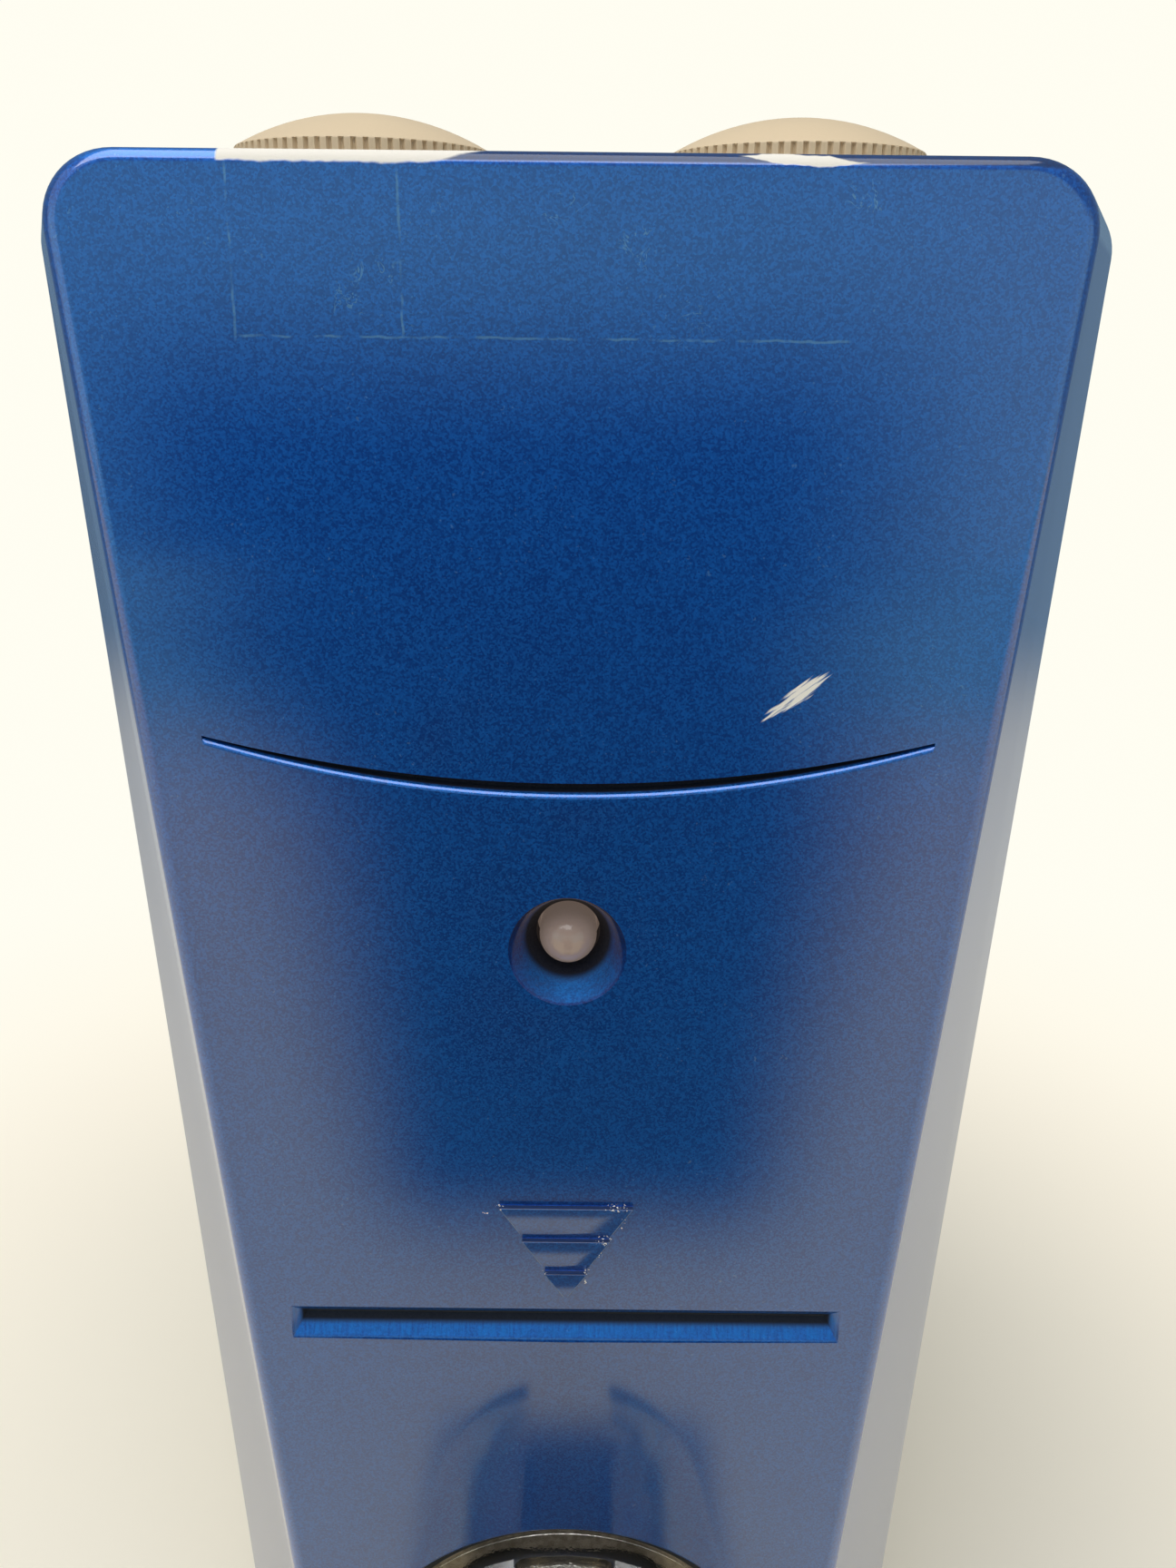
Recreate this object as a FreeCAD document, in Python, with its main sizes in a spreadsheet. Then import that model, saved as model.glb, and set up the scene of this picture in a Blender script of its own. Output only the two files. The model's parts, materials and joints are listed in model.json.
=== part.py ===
"""Bench-top radio-frequency tube sealer: an upright two-shell housing whose front panel leans back, a sealing
head behind a clear guard, two setting knobs on top, and the mains inlet, switch and electronics behind.

The base frame has +X to the right, +Y to the back and +Z up, in millimetres. The origin is on the surface
that the feet stand on, in the middle of the footprint. "Panel" sizes are measured from the panel's top edge,
down along the leaning face; "depth" runs from that face into the housing, square to it.
"""
import FreeCAD, Part
import math
import os
import re

import Sketcher
from FreeCAD import Placement, Rotation, Vector

X_AXIS, Y_AXIS, Z_AXIS = Vector(1, 0, 0), Vector(0, 1, 0), Vector(0, 0, 1)
ALONG_X, ALONG_Y, ALONG_Z = Rotation(Y_AXIS, 90), Rotation(X_AXIS, -90), Rotation()
OUTWARDS = Rotation(X_AXIS, 90)

SIZES = {
    # housing
    "lean_angle": 4, "housing_height": 190, "housing_depth": 115, "foot_height": 9, "foot_radius": 7,
    "foot_taper": 1, "foot_web": 5.6,
    "panel_half_top": 37.3, "panel_half_low": 23.3, "flare_top": 13, "flare_low": 18.7,
    "shell_depth": 30, "shell_wall": 2.8, "corner_radius": 5, "edge_round": 1, "back_round": 5,
    "seam_step": 0.4, "fit_gap": 0.3, "slide_gap": 0.05,
    # features of the front panel
    "smile_half": 29.2, "smile_end_drop": 42.4, "smile_low_drop": 46.8, "smile_width": 0.75, "smile_cut": 0.8,
    "led_drop": 60.7, "bowl_radius": 5, "bowl_depth": 4.5, "bowl_curve": 6, "led_radius": 2.5, "led_tip": 1.3,
    "led_flange": 2.9, "led_boss": 6.5, "led_boss_depth": 7, "leg_radius": 0.25, "leg_place": 1.27,
    "leg_long": 3, "leg_hole": 0.4, "led_board_half": 8,
    "arrow_drop": 86.1, "arrow_half": 6.1, "arrow_height": 10.6, "arrow_rise": 0.6, "bar_pitch": 3.6,
    "bar_height": 3.3,
    "groove_drop": 97.7, "groove_half": 25.9, "groove_height": 3.7, "groove_cut": 1.3, "groove_ridge": 1.6,
    "groove_hip": 1.2,
    # sealing head, measured from the middle of its round recess
    "head_drop": 147.2, "recess_gap": 1.4, "recess_depth": 4, "collar_wall": 2.4, "plate_thick": 3,
    "ear_gap": 3.8, "ear_half": 4.5,
    "head_half": 11.5, "head_tall": 13.5, "head_round": 7, "head_reach": 18, "flange_half": 20,
    "flange_thick": 4, "channel_half": 3.65, "channel_floor": 4, "channel_lead": 1.6,
    "window_half": 4.8, "jaw_travel": 5.4, "jaw_gap": 6, "pad_half": 3.5, "pad_front": 14, "pad_back": 7,
    "electrode_depth": 5, "stud_radius": 1.5, "stud_place": 5.8, "stud_past": 6.4, "electrode_nut_width": 6,
    "pad_thick": 1.6, "arm_thick": 3.4, "arm_half": 4, "frame_thick": 2, "frame_half": 22, "rod_radius": 1.5,
    "rod_place": 4.8, "rod_depth": 21, "rod_margin": 4.5, "bush_radius": 2.5, "carriage_left": 3,
    "carriage_right": 15, "carriage_half": 7.8, "carriage_front": 16, "carriage_back": 26, "leg_left": 9,
    "leg_right": 13, "leg_half": 5, "leg_back": 50, "coil_depth": 44, "coil_radius": 8, "coil_length": 18.8,
    "plunger_radius": 4, "neck_radius": 2, "clip_radius": 3.6, "plunger_long": 15.4, "core_length": 8,
    "yoke_wall": 1.6, "yoke_half": 10, "plate_screw_bite": 2, "head_nut_width": 5.5, "head_nut_height": 2,
    "finger_place": 9.8, "finger_half": 1.4, "finger_height": 3, "finger_reach": 5, "finger_travel": 3,
    "finger_lip": 2, "shoulder_radius": 2.3, "stem_radius": 0.8, "stem_end": 23, "button_high": 1.4,
    "switch_front": 24, "switch_long": 12.8, "switch_deep": 6.5, "switch_tall": 5.8,
    "guard_gap": 1.1, "guard_taper": 4.4, "guard_reach": 26, "guard_wall": 1.8, "guard_slot": 5,
    "guard_rail": 3.75, "rail_gap": 0.5, "root_ring": 1, "seal_radius": 0.75, "seal_depth": 2,
    "spring_wire": 0.35, "jaw_turns": 5, "trigger_turns": 4, "strap_rise": 34, "strap_width": 4,
    "strap_thick": 0.6, "strap_shift": 5.2, "lug_radius": 3.6,
    # knobs and potentiometers
    "knob_place": 24.5, "knob_setback": 60, "knob_radius": 14.45, "knob_height": 6.1, "dome_height": 3.7,
    "knob_ribs": 72, "rib_depth": 0.45, "rib_half": 0.36, "rim_land": 0.2, "knob_lift": 0.6, "knob_cavity": 8,
    "cavity_height": 3.4, "shaft_radius": 3, "shaft_flat": 1.5, "shaft_top": 8, "bushing_radius": 3.5,
    "bushing_top": 3.6, "nut_width": 10, "nut_height": 2.4, "washer_radius": 5.6, "washer_thick": 0.5,
    "pot_radius": 12, "pot_height": 9, "terminal_half": 7, "terminal_thick": 1.2, "terminal_out": 4.5,
    # mains inlet, fuse drawer and rocker, on the back
    "inlet_height": 47, "inlet_half": 25, "inlet_tall": 19, "inlet_body_half": 13.6, "inlet_body_tall": 16,
    "inlet_deep": 25, "flange_front": 2.5, "inlet_screw": 20, "socket_half": 12.3, "socket_tall": 8.4,
    "socket_drop": 5.5, "socket_deep": 16, "pin_half": 1, "pin_tall": 4, "pin_place": 7, "pin_low": 2,
    "pin_high": 4.5, "pin_short": 3, "drawer_half": 11, "drawer_tall": 3.8, "drawer_rise": 9.2,
    "drawer_deep": 23, "drawer_lip": 1.2, "fuse_radius": 2.5, "fuse_length": 20,
    "rocker_height": 84, "rocker_half": 6.45, "rocker_tall": 9.6, "bezel_edge": 1.2, "bezel_thick": 1.8,
    "rocker_deep": 17, "paddle_half": 5.2, "paddle_tall": 8, "paddle_gap": 0.7, "paddle_rise": 3.2,
    "paddle_sink": 1, "paddle_curve": 32, "rocker_tilt": 8,
    # chassis and electronics
    "chassis_setback": 78, "chassis_thick": 1.5, "chassis_half_top": 24, "chassis_half_low": 29,
    "chassis_low": 24, "chassis_top_drop": 35, "screw_edge": 3.5, "standoff_long": 5, "standoff_width": 5,
    "board_thick": 1.6, "board_half": 20, "board_margin": 4, "board_screw": 1.2, "board_screw_bite": 4,
    "rf_board_rise": 5.8, "rf_board_tall": 96, "power_board_gap": 6.4, "power_board_tall": 50,
    "tank_radius": 8, "tank_wire": 1.1, "tank_length": 34, "tank_turns": 5, "tank_out": 11, "former_gap": 0.7,
    "former_rise": 28.5, "former_half": 9, "former_cheek": 3.5, "former_length": 42,
    "tuner_gap": 4.5, "tuner_half": 13, "tuner_deep": 9, "tuner_tall": 11, "trimmer_radius": 4,
    "trimmer_high": 3,
    "device_rise": 4, "device_half": 8, "device_deep": 4.8, "device_tall": 13,
    "sink_rise": 1, "sink_half": 16, "sink_plate": 2.5, "sink_tall": 19, "fin_count": 7, "fin_pitch": 5,
    "fin_thick": 1.2, "fin_deep": 14,
    "core_rise": 7.5, "core_half": 15, "core_deep": 17, "core_tall": 25, "core_leg": 4.5, "core_centre": 5,
    "winding_gap": 0.5, "winding_thick": 4.4, "capacitor_rise": 40, "capacitor_place": 9,
    "capacitor_radius": 6, "capacitor_long": 18,
    # vents, posts and fasteners
    "vent_count": 9, "vent_pitch": 5.4, "vent_half": 22, "vent_width": 2.6, "vent_start": 118,
    "post_radius": 4, "screw_radius": 1.5, "head_share": 1.2, "head_spread": 1.9, "post_top_drop": 26,
    "post_top_half": 31, "post_low_rise": 12, "post_low_half": 17, "hole_gap": 0.35, "hole_depth": 6,
    "foot_front_half": 17, "foot_front_back": 11, "foot_rear_half": 25, "foot_rear_in": 16,
}

doc = FreeCAD.newDocument("tube_sealer")
sheet = doc.addObject("Spreadsheet::Sheet", "Sizes")
for row, (alias, value) in enumerate(SIZES.items(), start=1):
    sheet.set(f"A{row}", alias)
    sheet.set(f"B{row}", str(value))
    sheet.setAlias(f"B{row}", alias)
doc.recompute()

PARTS = {}


# ---------------------------------------------------------------- helpers

def bound(text):
    """A formula on the sheet's names, as an expression that any object of the document can hold."""
    return re.sub(r"[a-z]+(?:_[a-z]+)+", lambda name: "Sizes." + name.group(0), str(text))


def number(text):
    return float(sheet.evalExpression(bound(text)))


def bind(item, name, text):
    item.setExpression(name, bound(text))


LEAN = number("lean_angle")
TOP = "(foot_height + housing_height)"
BACK_OUT = "(flange_front + head_share * screw_radius)"
HEAD_CORNER = "(sqrt((head_half - head_round)^2 + (head_tall - head_round)^2) + head_round)"
GUARD_FRONT = f"({HEAD_CORNER} + guard_gap)"
GUARD_ROOT = f"({GUARD_FRONT} + guard_taper)"
RECESS = f"({GUARD_ROOT} + recess_gap)"
GUARD_OUT = f"((head_drop + {GUARD_FRONT}) * sin(lean_angle) + guard_reach * cos(lean_angle))"
FRONT_Y = number(f"({GUARD_OUT} - housing_depth - {BACK_OUT}) / 2")
HOUSE = Placement(Vector(0, FRONT_Y, 0), Rotation())


def on_panel(drop, depth="0"):
    """The frame of a place on the leaning panel: X right, Y into the housing, Z up along the panel."""
    tilt = Rotation(X_AXIS, -LEAN)
    along = tilt.multVec(Vector(0, number(depth), -number(drop)))
    return Placement(Vector(0, FRONT_Y, number(TOP)) + along, tilt)


def keep(item, label, place=HOUSE):
    """Name a finished sub-part and set its frame; a lone primitive keeps its own place inside a group."""
    if not item.Placement.isIdentity():
        item = group(item)
    item.Label = label
    item.Placement = place
    PARTS[label] = item
    return item


def body(label, place=HOUSE):
    return keep(doc.addObject("PartDesign::Body", label), label, place)


def sketch_on(owner, name, role, offset=None):
    """A sketch on one of the body's own origin planes; offset moves and turns it in that plane's frame."""
    sketch = owner.newObject("Sketcher::SketchObject", name)
    plane = next(item for item in owner.Origin.OriginFeatures if item.Role == role)
    sketch.AttachmentSupport = [(plane, "")]
    sketch.MapMode = "FlatFace"
    sketch.AttachmentOffset = offset or Placement()
    return sketch


def leaning(owner, name, depth="0"):
    """A sketch parallel to the front panel, that far behind it, with its origin under the top edge."""
    tilt = Rotation(X_AXIS, -LEAN)
    back = tilt.multVec(Vector(0, 0, -number(depth)))
    return sketch_on(owner, name, "XZ_Plane", Placement(Vector(0, number(TOP), 0) + back, tilt))


def facing(owner, name, forward="0"):
    """A sketch on the upright XZ plane, moved towards the front (-Y)."""
    return sketch_on(owner, name, "XZ_Plane", Placement(Vector(0, 0, number(forward)), Rotation()))


def level(owner, name, height="0"):
    return sketch_on(owner, name, "XY_Plane", Placement(Vector(0, 0, number(height)), Rotation()))


def pin_point(sketch, geometry, end, x, y):
    for kind, text in (("DistanceX", x), ("DistanceY", y)):
        index = sketch.addConstraint(Sketcher.Constraint(kind, -1, 1, geometry, end, number(text)))
        bind(sketch, f"Constraints[{index}]", text)


def outline(sketch, corners, arcs=None):
    """A closed outline through corners given as formulas. arcs maps a side's number to its radius: that side
    is an arc, and a negative radius bows it to the left of its direction."""
    arcs = arcs or {}
    points = [Vector(number(x), number(y), 0) for x, y in corners]
    sides, ends = [], []
    for index, start in enumerate(points):
        end = points[(index + 1) % len(points)]
        if index in arcs:
            radius = number(arcs[index])
            chord = end - start
            middle = (start + end) / 2
            left = Vector(-chord.y, chord.x, 0).normalize()
            sagitta = abs(radius) - math.sqrt(radius ** 2 - chord.Length ** 2 / 4)
            bow = middle + left * (sagitta if radius < 0 else -sagitta)
            side = sketch.addGeometry(Part.Arc(start, bow, end))
            first = 1 if (sketch.getPoint(side, 1) - start).Length < 1e-6 else 2
        else:
            side = sketch.addGeometry(Part.LineSegment(start, end))
            first = 1
        sides.append(side)
        ends.append((first, 3 - first))
    for index, side in enumerate(sides):
        after = (index + 1) % len(sides)
        joined = ("Coincident", side, ends[index][1], sides[after], ends[after][0])
        sketch.addConstraint(Sketcher.Constraint(*joined))
        pin_point(sketch, side, ends[index][0], *corners[index])
        if index in arcs:
            radius = sketch.addConstraint(Sketcher.Constraint("Radius", side, abs(number(arcs[index]))))
            bind(sketch, f"Constraints[{radius}]", f"abs({arcs[index]})")
    return sketch


def rounded(sketch, corners, radius):
    """A closed outline with every corner rounded; the corners run anticlockwise."""
    points = [Vector(number(x), number(y), 0) for x, y in corners]
    size = number(radius)
    guides = []
    for index, point in enumerate(points):
        guides.append(sketch.addGeometry(Part.LineSegment(point, points[(index + 1) % len(points)]), True))
    for index, guide in enumerate(guides):
        after = guides[(index + 1) % len(guides)]
        sketch.addConstraint(Sketcher.Constraint("Coincident", guide, 2, after, 1))
        pin_point(sketch, guide, 1, *corners[index])
    arcs = []
    for index, point in enumerate(points):
        back = (points[index - 1] - point).normalize()
        ahead = (points[(index + 1) % len(points)] - point).normalize()
        half = back.getAngle(ahead) / 2
        centre = point + (back + ahead).normalize() * (size / math.sin(half))
        nearest = centre - (back + ahead).normalize() * size
        start, end = point + back * (size / math.tan(half)), point + ahead * (size / math.tan(half))
        arcs.append(sketch.addGeometry(Part.Arc(start, nearest, end)))
    for index, arc in enumerate(arcs):
        after = arcs[(index + 1) % len(arcs)]
        side = sketch.addGeometry(Part.LineSegment(sketch.getPoint(arc, 2), sketch.getPoint(after, 1)))
        sketch.addConstraint(Sketcher.Constraint("Coincident", side, 1, arc, 2))
        sketch.addConstraint(Sketcher.Constraint("Coincident", side, 2, after, 1))
    for index, arc in enumerate(arcs):
        sketch.addConstraint(Sketcher.Constraint("Tangent", arc, 1, guides[index - 1]))
        sketch.addConstraint(Sketcher.Constraint("Tangent", arc, 2, guides[index]))
        constraint = sketch.addConstraint(Sketcher.Constraint("Radius", arc, size))
        bind(sketch, f"Constraints[{constraint}]", radius)
    return sketch


def circles(sketch, places, radius):
    for x, y in places:
        centre = Vector(number(x), number(y), 0)
        circle = sketch.addGeometry(Part.Circle(centre, Z_AXIS, number(radius)))
        pin_point(sketch, circle, 3, x, y)
        constraint = sketch.addConstraint(Sketcher.Constraint("Radius", circle, number(radius)))
        bind(sketch, f"Constraints[{constraint}]", radius)
    return sketch


def box_corners(left, low, right, high):
    return [(left, low), (right, low), (right, high), (left, high)]


def feature(owner, kind, name, profile=None, sizes=None, **settings):
    """Add a feature to a body and check that it adds or takes away material, as its kind says."""
    before = owner.Shape.Volume if owner.Tip else 0
    item = owner.newObject("PartDesign::" + kind, name)
    if profile is not None:
        item.Profile = profile
    for key, value in settings.items():
        setattr(item, key, value)
    for key, text in (sizes or {}).items():
        bind(item, key, text)
    doc.recompute()
    grows = kind in ("Pad", "Revolution") or kind.startswith("Additive")
    change = item.Shape.Volume - before
    if "Invalid" in item.State or "Error" in item.State or (change > 0) != grows or abs(change) < 1e-6:
        raise ValueError(f"{owner.Label}.{name} changed the volume by {change:.4f}: {item.State}")
    return item


def pad(owner, name, profile, length, **settings):
    return feature(owner, "Pad", name, profile, {"Length": length}, **settings)


def pocket(owner, name, profile, length, **settings):
    return feature(owner, "Pocket", name, profile, {"Length": length}, **settings)


def through(owner, name, profile):
    return feature(owner, "Pocket", name, profile, Type="ThroughAll", SideType="Symmetric")


def turn(owner, name, profile, kind="Revolution", axis="V_Axis"):
    return feature(owner, kind, name, profile, ReferenceAxis=(profile, [axis]), Angle=360)


def soften(owner, name, kind, test, size):
    """Fillet or chamfer the edges that pass the test."""
    base = owner.Tip
    item = owner.newObject("PartDesign::" + kind, name)
    item.Base = (base, edges_of(base, test))
    bind(item, "Radius" if kind == "Fillet" else "Size", size)
    doc.recompute()
    if "Invalid" in item.State or not item.Shape.isValid():
        raise ValueError(f"{owner.Label}.{name}: {item.State}")
    return item


def edges_of(item, test):
    return [f"Edge{number}" for number, edge in enumerate(item.Shape.Edges, start=1)
            if all(test(vertex.Point) for vertex in edge.Vertexes)]


def place_at(item, x, y, z, turn_by=ALONG_Z):
    item.Placement = Placement(Vector(number(x), number(y), number(z)), turn_by)
    if turn_by == ALONG_Z:
        for axis, text in (("x", x), ("y", y), ("z", z)):
            bind(item, "Placement.Base." + axis, text)
    return item


def box(x, y, z, long, deep, tall):
    """A block from its lowest corner; every value is a formula."""
    item = doc.addObject("Part::Box", "block")
    for key, text in (("Length", long), ("Width", deep), ("Height", tall)):
        bind(item, key, text)
    return place_at(item, x, y, z)


def rod(x, y, z, radius, length, turn_by=ALONG_Z):
    item = doc.addObject("Part::Cylinder", "rod")
    bind(item, "Radius", radius)
    bind(item, "Height", length)
    return place_at(item, x, y, z, turn_by)


def cone(x, y, z, radius, end_radius, length, turn_by=ALONG_Z):
    item = doc.addObject("Part::Cone", "cone")
    bind(item, "Radius1", radius)
    bind(item, "Radius2", end_radius)
    bind(item, "Height", length)
    return place_at(item, x, y, z, turn_by)


def hexagon(x, y, z, width, length, turn_by=ALONG_Z):
    item = doc.addObject("Part::Prism", "hexagon")
    item.Polygon = 6
    bind(item, "Circumradius", f"({width}) / sqrt(3)")
    bind(item, "Height", length)
    return place_at(item, x, y, z, turn_by)


def fuse(*items):
    if len(items) == 1:
        return items[0]
    item = doc.addObject("Part::MultiFuse", "joined")
    item.Shapes = list(items)
    return item


def cut(base, *tools):
    item = doc.addObject("Part::Cut", "cut")
    item.Base = base
    item.Tool = fuse(*tools)
    return item


def group(*items):
    item = doc.addObject("Part::Compound", "group")
    item.Links = list(items)
    return item


def shape_of(*shapes):
    item = doc.addObject("Part::Feature", "swept")
    item.Shape = Part.makeCompound(shapes)
    return item


def machine_screw(x, y, z, length, turn_by, radius="screw_radius"):
    """A pan-head screw with a hexagon for its thread; (x, y, z) is under the head, which lies behind it."""
    head = f"({radius} * head_spread)"
    tall = f"({radius} * head_share)"
    back = turn_by.multVec(-Z_AXIS)
    lift = number(tall)
    under = [str(number(text) + part * lift) for text, part in zip((x, y, z), back)]
    cap = rod(*under, head, tall, turn_by)
    shank = hexagon(x, y, z, f"{radius} * sqrt(3)", length, turn_by)
    return fuse(cap, shank)


def coil_spring(radius, wire, length, turns, place):
    """An open coil whose ends stay inside its length: one four-sided wire swept along a helix."""
    run = length - 2 * wire
    helix = Part.makeHelix(run / turns, run, radius)
    corners = [Vector(radius + wire * math.cos(turn), 0, wire * math.sin(turn))
               for turn in (math.radians(90 * side) for side in range(5))]
    section = Part.makePolygon(corners)
    spring = Part.Wire(helix.Edges).makePipeShell([section], True, True)
    spring.Placement = place * Placement(Vector(0, 0, wire), Rotation())
    return spring


# ---------------------------------------------------------------- housing

PANEL_LENGTH = "housing_height / cos(lean_angle)"
PARTING_TOP = "(panel_half_top + flare_top)"
PARTING_LOW = "(panel_half_low + flare_low)"
INNER_BACK = "(housing_depth - shell_wall)"


def shell_section(owner, name, depth, inset, radius):
    """The front shell's outline in a plane parallel to the panel; its top and bottom stay level."""
    rise = f"({depth}) * tan(lean_angle)"
    share = f"({depth}) / shell_depth"
    top = f"panel_half_top + flare_top * {share} - {inset}"
    low = f"panel_half_low + flare_low * {share} - {inset}"
    ceiling, floor = f"{rise} - {inset}", f"{rise} + {inset} - {PANEL_LENGTH}"
    corners = [(f"-({low})", floor), (low, floor), (top, ceiling), (f"-({top})", ceiling)]
    return rounded(leaning(owner, name, depth), corners, radius)


def panel_frame(drop):
    """A place on the panel in a housing body's own frame."""
    tilt = Rotation(X_AXIS, -LEAN)
    return Vector(0, 0, number(TOP)) + tilt.multVec(Vector(0, 0, -number(drop)))


def across_panel(owner, name, drop):
    """A sketch in the middle plane, with its X running square into the panel and its Y up the panel."""
    place = panel_frame(drop)
    return sketch_on(owner, name, "YZ_Plane", Placement(Vector(place.y, place.z, 0), Rotation(Z_AXIS, -LEAN)))


def panel_wedge(owner, name, drop, turn_by, sizes, kind="Subtractive"):
    """Cut a wedge out of the panel or add one to it, with its frame at a place on the panel."""
    wedge = owner.newObject(f"PartDesign::{kind}Wedge", name)
    wedge.Placement = Placement(panel_frame(drop), turn_by)
    for key in ("Xmin", "Ymin", "Zmin", "X2min", "Z2min", "Xmax", "Ymax", "Zmax", "X2max", "Z2max"):
        setattr(wedge, key, number(sizes[key]))
        bind(wedge, key, sizes[key])
    before = wedge.BaseFeature.Shape.Volume
    doc.recompute()
    if wedge.Shape.Volume == before or (wedge.Shape.Volume < before) != (kind == "Subtractive"):
        raise ValueError(f"{owner.Label}.{name} changes nothing")
    return wedge


def trim_parting(owner, **settings):
    """Cut the shell off at the parting plane, which is parallel to the panel."""
    wide = f"2 * {PARTING_TOP}"
    corners = box_corners(f"-{wide}", "-2 * housing_height", wide, "housing_height")
    plane = outline(leaning(owner, "parting", "shell_depth"), corners)
    return feature(owner, "Pocket", "parting_cut", plane, Type="ThroughAll", **settings)


def both_sides(half, height):
    return [(f"-({half})", height), (half, height)]


POST_TOP = both_sides("post_top_half", f"{TOP} - post_top_drop")
POST_LOW = both_sides("post_low_half", "foot_height + post_low_rise")
LOW_POST_DROP = "(housing_height - post_low_rise)"
FOOT_FRONT = both_sides("foot_front_half", "foot_front_back - housing_height * tan(lean_angle)")
FOOT_REAR = both_sides("foot_rear_half", "housing_depth - foot_rear_in")
SCREW_HOLE = "screw_radius + slide_gap"
HEAD_HOLE = "(head_spread * screw_radius + hole_gap)"


def foot_bosses(owner, places):
    boss = circles(level(owner, "foot_bosses", "foot_height + shell_wall / 2"), places, "post_radius")
    pad(owner, "foot_boss", boss, "2 * post_radius")
    hole = circles(level(owner, "foot_holes", "foot_height"), places, SCREW_HOLE)
    pocket(owner, "foot_hole", hole, "2 * post_radius", Reversed=True)


def make_front_shell():
    shell = body("front_shell")
    rolls = [(0, 1), (0.134, 0.5), (0.5, 0.134), (1, 0)]
    front, *rest = [
        shell_section(shell, f"edge_roll_{step}", f"{depth} * edge_round", f"{inset} * edge_round",
                      f"corner_radius - {inset} * edge_round") for step, (depth, inset) in enumerate(rolls)]
    parting = shell_section(shell, "parting_outline", "shell_depth", "0", "corner_radius")
    feature(shell, "AdditiveLoft", "outer_form", front, Sections=rest + [parting], Ruled=True)
    inner_round = "corner_radius - shell_wall"
    front = shell_section(shell, "front_inside", "shell_wall", "shell_wall", inner_round)
    parting = shell_section(shell, "parting_inside", "shell_depth", "shell_wall", inner_round)
    feature(shell, "SubtractiveLoft", "inner_form", front, Sections=[parting], Ruled=True)

    half_wall = "shell_wall / 2"
    for name, places, drop in (("top_posts", POST_TOP, "post_top_drop"),
                               ("low_posts", POST_LOW, LOW_POST_DROP)):
        start = f"{drop} * tan(lean_angle) - {half_wall}"
        post = circles(facing(shell, name, start), places, "post_radius")
        pad(shell, name + "_pad", post, "shell_depth + shell_wall", Reversed=True)
        hole = circles(facing(shell, name + "_holes", start + " - shell_wall"), places, SCREW_HOLE)
        pocket(shell, name + "_hole", hole, "shell_depth + shell_wall")
    foot_bosses(shell, FOOT_FRONT)
    trim_parting(shell)

    head = [("0", "-head_drop")]
    collar = circles(leaning(shell, "collar", half_wall), head, f"{RECESS} + collar_wall")
    pad(shell, "collar_pad", collar, f"recess_depth - {half_wall}", Reversed=True)
    ears = [("0", f"{EAR_PLACE} - head_drop"), ("0", f"-{EAR_PLACE} - head_drop")]
    boss = circles(leaning(shell, "ear_bosses", half_wall), ears, "post_radius")
    pad(shell, "ear_boss", boss, f"recess_depth - {half_wall}", Reversed=True)
    hole = circles(leaning(shell, "ear_holes", "recess_depth"), ears, SCREW_HOLE)
    pocket(shell, "ear_hole", hole, "recess_depth - edge_round", Reversed=True)
    recess = circles(leaning(shell, "recess"), head, RECESS)
    pocket(shell, "recess_cut", recess, "recess_depth + edge_round")

    boss = circles(leaning(shell, "led_boss", half_wall), [("0", "-led_drop")], "led_boss")
    pad(shell, "led_boss_pad", boss, f"led_boss_depth - {half_wall}", Reversed=True)
    past = "led_boss_depth + edge_round"
    neck = "led_radius + fit_gap"
    bowl = outline(across_panel(shell, "led_bowl", "led_drop"), [
        ("-edge_round", "0"), (past, "0"), (past, neck), ("bowl_depth", neck), ("0", "bowl_radius"),
        ("-edge_round", "bowl_radius")], {3: "bowl_curve"})
    turn(shell, "led_bowl_cut", bowl, "Groove", "H_Axis")

    dip = "(smile_low_drop - smile_end_drop)"
    inner_dip = f"({dip} - smile_width)"
    ends = [("-smile_half", "-smile_end_drop"), ("smile_half", "-smile_end_drop")]
    smile = outline(leaning(shell, "smile"), ends, {
        0: f"(smile_half^2 + {dip}^2) / (2 * {dip})",
        1: f"-(smile_half^2 + {inner_dip}^2) / (2 * {inner_dip})"})
    pocket(shell, "smile_groove", smile, "smile_cut")

    down = Rotation(X_AXIS, -90 - LEAN)
    for bar in range(3):
        top = f"arrow_half * (1 - {bar} * bar_pitch / arrow_height)"
        low = f"arrow_half * (1 - ({bar} * bar_pitch + bar_height) / arrow_height)"
        panel_wedge(shell, f"arrow_bar_{bar}", f"arrow_drop + {bar} * bar_pitch", down, {
            "Xmin": f"-{top}", "Xmax": top, "X2min": f"-{low}", "X2max": low,
            "Ymin": "0", "Ymax": "bar_height",
            "Zmin": "-arrow_rise", "Zmax": "shell_wall / 2", "Z2min": "0", "Z2max": "shell_wall / 2"},
            "Additive")
    panel_wedge(shell, "hipped_groove", "groove_drop", Rotation(X_AXIS, -LEAN), {
        "Xmin": "-groove_half", "Xmax": "groove_half", "X2min": "groove_hip - groove_half",
        "X2max": "groove_half - groove_hip", "Ymin": "0", "Ymax": "groove_cut", "Zmin": "-groove_height",
        "Zmax": "0", "Z2min": "-groove_ridge - slide_gap", "Z2max": "-groove_ridge"})


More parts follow.
